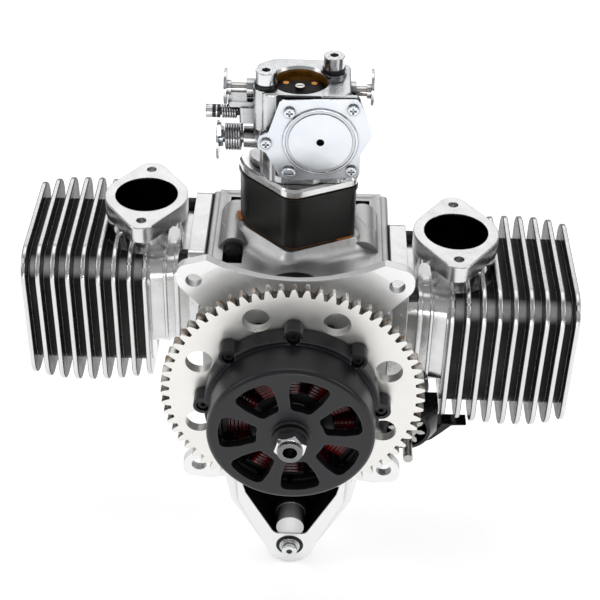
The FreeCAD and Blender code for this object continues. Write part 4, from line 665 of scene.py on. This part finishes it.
def sharpen(o, angle=35):
    bpy.context.view_layer.objects.active = o
    o.select_set(True)
    me = o.data
    bm = bmesh.new()
    bm.from_mesh(me)
    bmesh.ops.recalc_face_normals(bm, faces=bm.faces)
    for e in bm.edges:
        if len(e.link_faces) == 2:
            e.smooth = e.calc_face_angle(0) < math.radians(angle)
    bm.to_mesh(me)
    bm.free()
    o.select_set(False)

# carburettor springs: turned wire instead of the CAD's separate rings
def helix(x0, x1, y, z, R, r, turns, per=26, start=0.0):
    P = []
    n = int(turns * per)
    for i in range(n + 1):
        t = i / n
        e = min(t, 1 - t) * turns           # closed end turns
        # the pitch is even over the whole length; e, meant for closed end turns, is not used
        s = t
        q = start + 2 * math.pi * turns * t
        P.append(Vector((x0 + r + (x1 - x0 - 2 * r) * s, y + R * math.cos(q), z + R * math.sin(q))))
    return tube(P, r, 8)

spr = merge([helix(-38.4 * MM, -29.0 * MM, 68 * MM, 101 * MM, 6.3 * MM, 0.62 * MM, 6.2),
             helix(-39.8 * MM, -31.0 * MM, 66.5 * MM, 116.2 * MM, 3.0 * MM, 0.5 * MM, 6.4)])
o = new_mesh("carb_springs_wire", *spr)
place(o, "carb_springs", m_steel("spring_wire", (0.6, 0.6, 0.62), 0.2, (0.9, 0.9, 0.92)))

# ribbed rubber cap on the left ridge
cx, cz, y0, y1 = -33.5 * MM, 39.5 * MM, 49.2 * MM, 61.0 * MM
prof = [(0, 0), (0.0, 1.6), (0.15, 2.4), (0.5, 3.3), (1.0, 3.9)]
for k in range(4):
    b = 1.1 + k * 1.15
    prof += [(b, 4.3), (b + 0.12, 5.0), (b + 0.35, 5.25), (b + 0.62, 5.25), (b + 0.85, 5.0), (b + 1.0, 4.35)]
prof += [(6.2, 4.9), (6.7, 4.9), (6.7, 2.9), (11.8, 2.9), (11.8, 0)]
o = new_mesh("breather_cap_ribbed", *revolve([(a * MM, r * MM) for a, r in prof], (cx, y0, cz), "Y", 56))
sharpen(o, 50)
place(o, "breather_cap", MATS["rubber"])

# stator windings: enamelled wire laid turn by turn round each tooth
coils = []
for k in range(12):
    a = math.radians(30 * k)
    u = Vector((math.cos(a), 0, math.sin(a)))
    w = Vector((-math.sin(a), 0, math.cos(a)))
    for i in range(10):
        rr = 21.4 + i * 0.95
        for layer in (0, 1):
            hw = 2.75 + 0.85 * layer + 0.10 * i
            if layer and hw > 1.9 + 0.16 * (rr - 10):
                continue
            y_a, y_b = -34.1 - 0.85 * layer, -18.9 + 0.85 * layer
            pts = []
            cr = 1.2
            corners = [(-hw, y_a), (hw, y_a), (hw, y_b), (-hw, y_b)]
            for ci, (px, py) in enumerate(corners):
                sx = -1 if px < 0 else 1
                sy = -1 if py == y_a else 1
                q0 = {(-1, -1): 180, (1, -1): 270, (1, 1): 0, (-1, 1): 90}[(sx, sy)]
                for st in range(4):
                    q = math.radians(q0 + 30 * st)
                    pts.append((px - sx * cr + cr * math.cos(q), py - sy * cr + cr * math.sin(q)))
            P = [(u * (rr + 0.18 * math.sin(3 * i + k)) + w * px) * MM + Vector((0, py * MM, 0)) for px, py in pts]
            coils.append(tube(P, 0.46 * MM, 6, closed=True))
o = new_mesh("stator_windings_wire", *merge(coils))
place(o, "stator_windings", MATS["copper_red"])

# ------------------------------------------------------------------ studio
floor_z = cad_lo.z - 0.0012
fl = new_mesh("studio_floor", [(-6, -6, floor_z), (6, -6, floor_z), (6, 6, floor_z), (-6, 6, floor_z)], [(0, 1, 2, 3)])
fm = bpy.data.materials.new("floor_pale")
fm.use_nodes = True
fp = fm.node_tree.nodes["Principled BSDF"]
fp.inputs["Base Color"].default_value = (0.93, 0.93, 0.93, 1)
fp.inputs["Roughness"].default_value = 0.9
fp.inputs["Specular IOR Level"].default_value = 0.1
fp.inputs["Emission Color"].default_value = (1, 1, 1, 1)
fp.inputs["Emission Strength"].default_value = 0.54
fl.data.materials.append(fm)

world = bpy.data.worlds.new("studio")
bpy.context.scene.world = world
world.use_nodes = True
wn, wl = world.node_tree.nodes, world.node_tree.links
bg = wn["Background"]
tc = wn.new("ShaderNodeTexCoord")
sp = wn.new("ShaderNodeSeparateXYZ")
wl.new(tc.outputs["Generated"], sp.inputs[0])
rp = wn.new("ShaderNodeValToRGB")
wl.new(sp.outputs["Z"], rp.inputs[0])
els = rp.color_ramp.elements
els[0].position, els[0].color = 0.0, (0.22, 0.22, 0.23, 1)
els[1].position, els[1].color = 1.0, (0.55, 0.55, 0.56, 1)
for p, c in ((0.08, 0.10), (0.25, 0.35), (0.48, 0.95), (0.72, 0.85)):
    e = els.new(p)
    e.color = (c, c, c * 1.01, 1)
wl.new(rp.outputs[0], bg.inputs["Color"])
bg.inputs["Strength"].default_value = 0.52

def area(name, loc, target, size, power, color=(1, 1, 1), size_y=None):
    d = bpy.data.lights.new(name, "AREA")
    d.energy = power
    d.color = color
    d.size = size
    if size_y:
        d.shape = "RECTANGLE"
        d.size_y = size_y
    ob = bpy.data.objects.new(name, d)
    bpy.context.scene.collection.objects.link(ob)
    ob.location = loc
    ob.rotation_mode = "QUATERNION"
    ob.rotation_quaternion = (Vector(target) - Vector(loc)).to_track_quat("-Z", "Y")
    return ob

mid = (0, 0.03, 0.0)
area("top_soft", (0.0, 0.45, 1.15), mid, 1.1, 3.3, size_y=0.8)
area("front_low", (0.05, -1.35, 0.10), mid, 0.5, 2.6, size_y=0.22)
area("left_soft", (-1.1, -0.25, 0.60), mid, 0.35, 2.3, size_y=0.8)
area("right_soft", (1.1, -0.25, 0.60), mid, 0.35, 2.3, size_y=0.8)
area("back_soft", (0.0, 1.3, 0.75), mid, 1.6, 2.3, size_y=0.5)

# ------------------------------------------------------------------ camera
cam_d = bpy.data.cameras.new("camera")
cam_d.sensor_width = 36.0
cam_d.lens = 86.24
cam_d.clip_start, cam_d.clip_end = 0.01, 50
cam = bpy.data.objects.new("camera", cam_d)
bpy.context.scene.collection.objects.link(cam)
R, U, B = Vector((0.9995, 0.0265, 0.0200)), Vector((-0.0318, 0.5978, 0.8010)), Vector((0.0093, -0.8012, 0.5983))
B.normalize()
R = (R - B * R.dot(B)).normalized()
U = B.cross(R)
M = Matrix((( R.x, U.x, B.x, 0.008879), (R.y, U.y, B.y, -0.558201), (R.z, U.z, B.z, 0.467462), (0, 0, 0, 1)))
cam.matrix_world = M
bpy.context.scene.camera = cam
bpy.context.scene.view_settings.view_transform = "Standard"
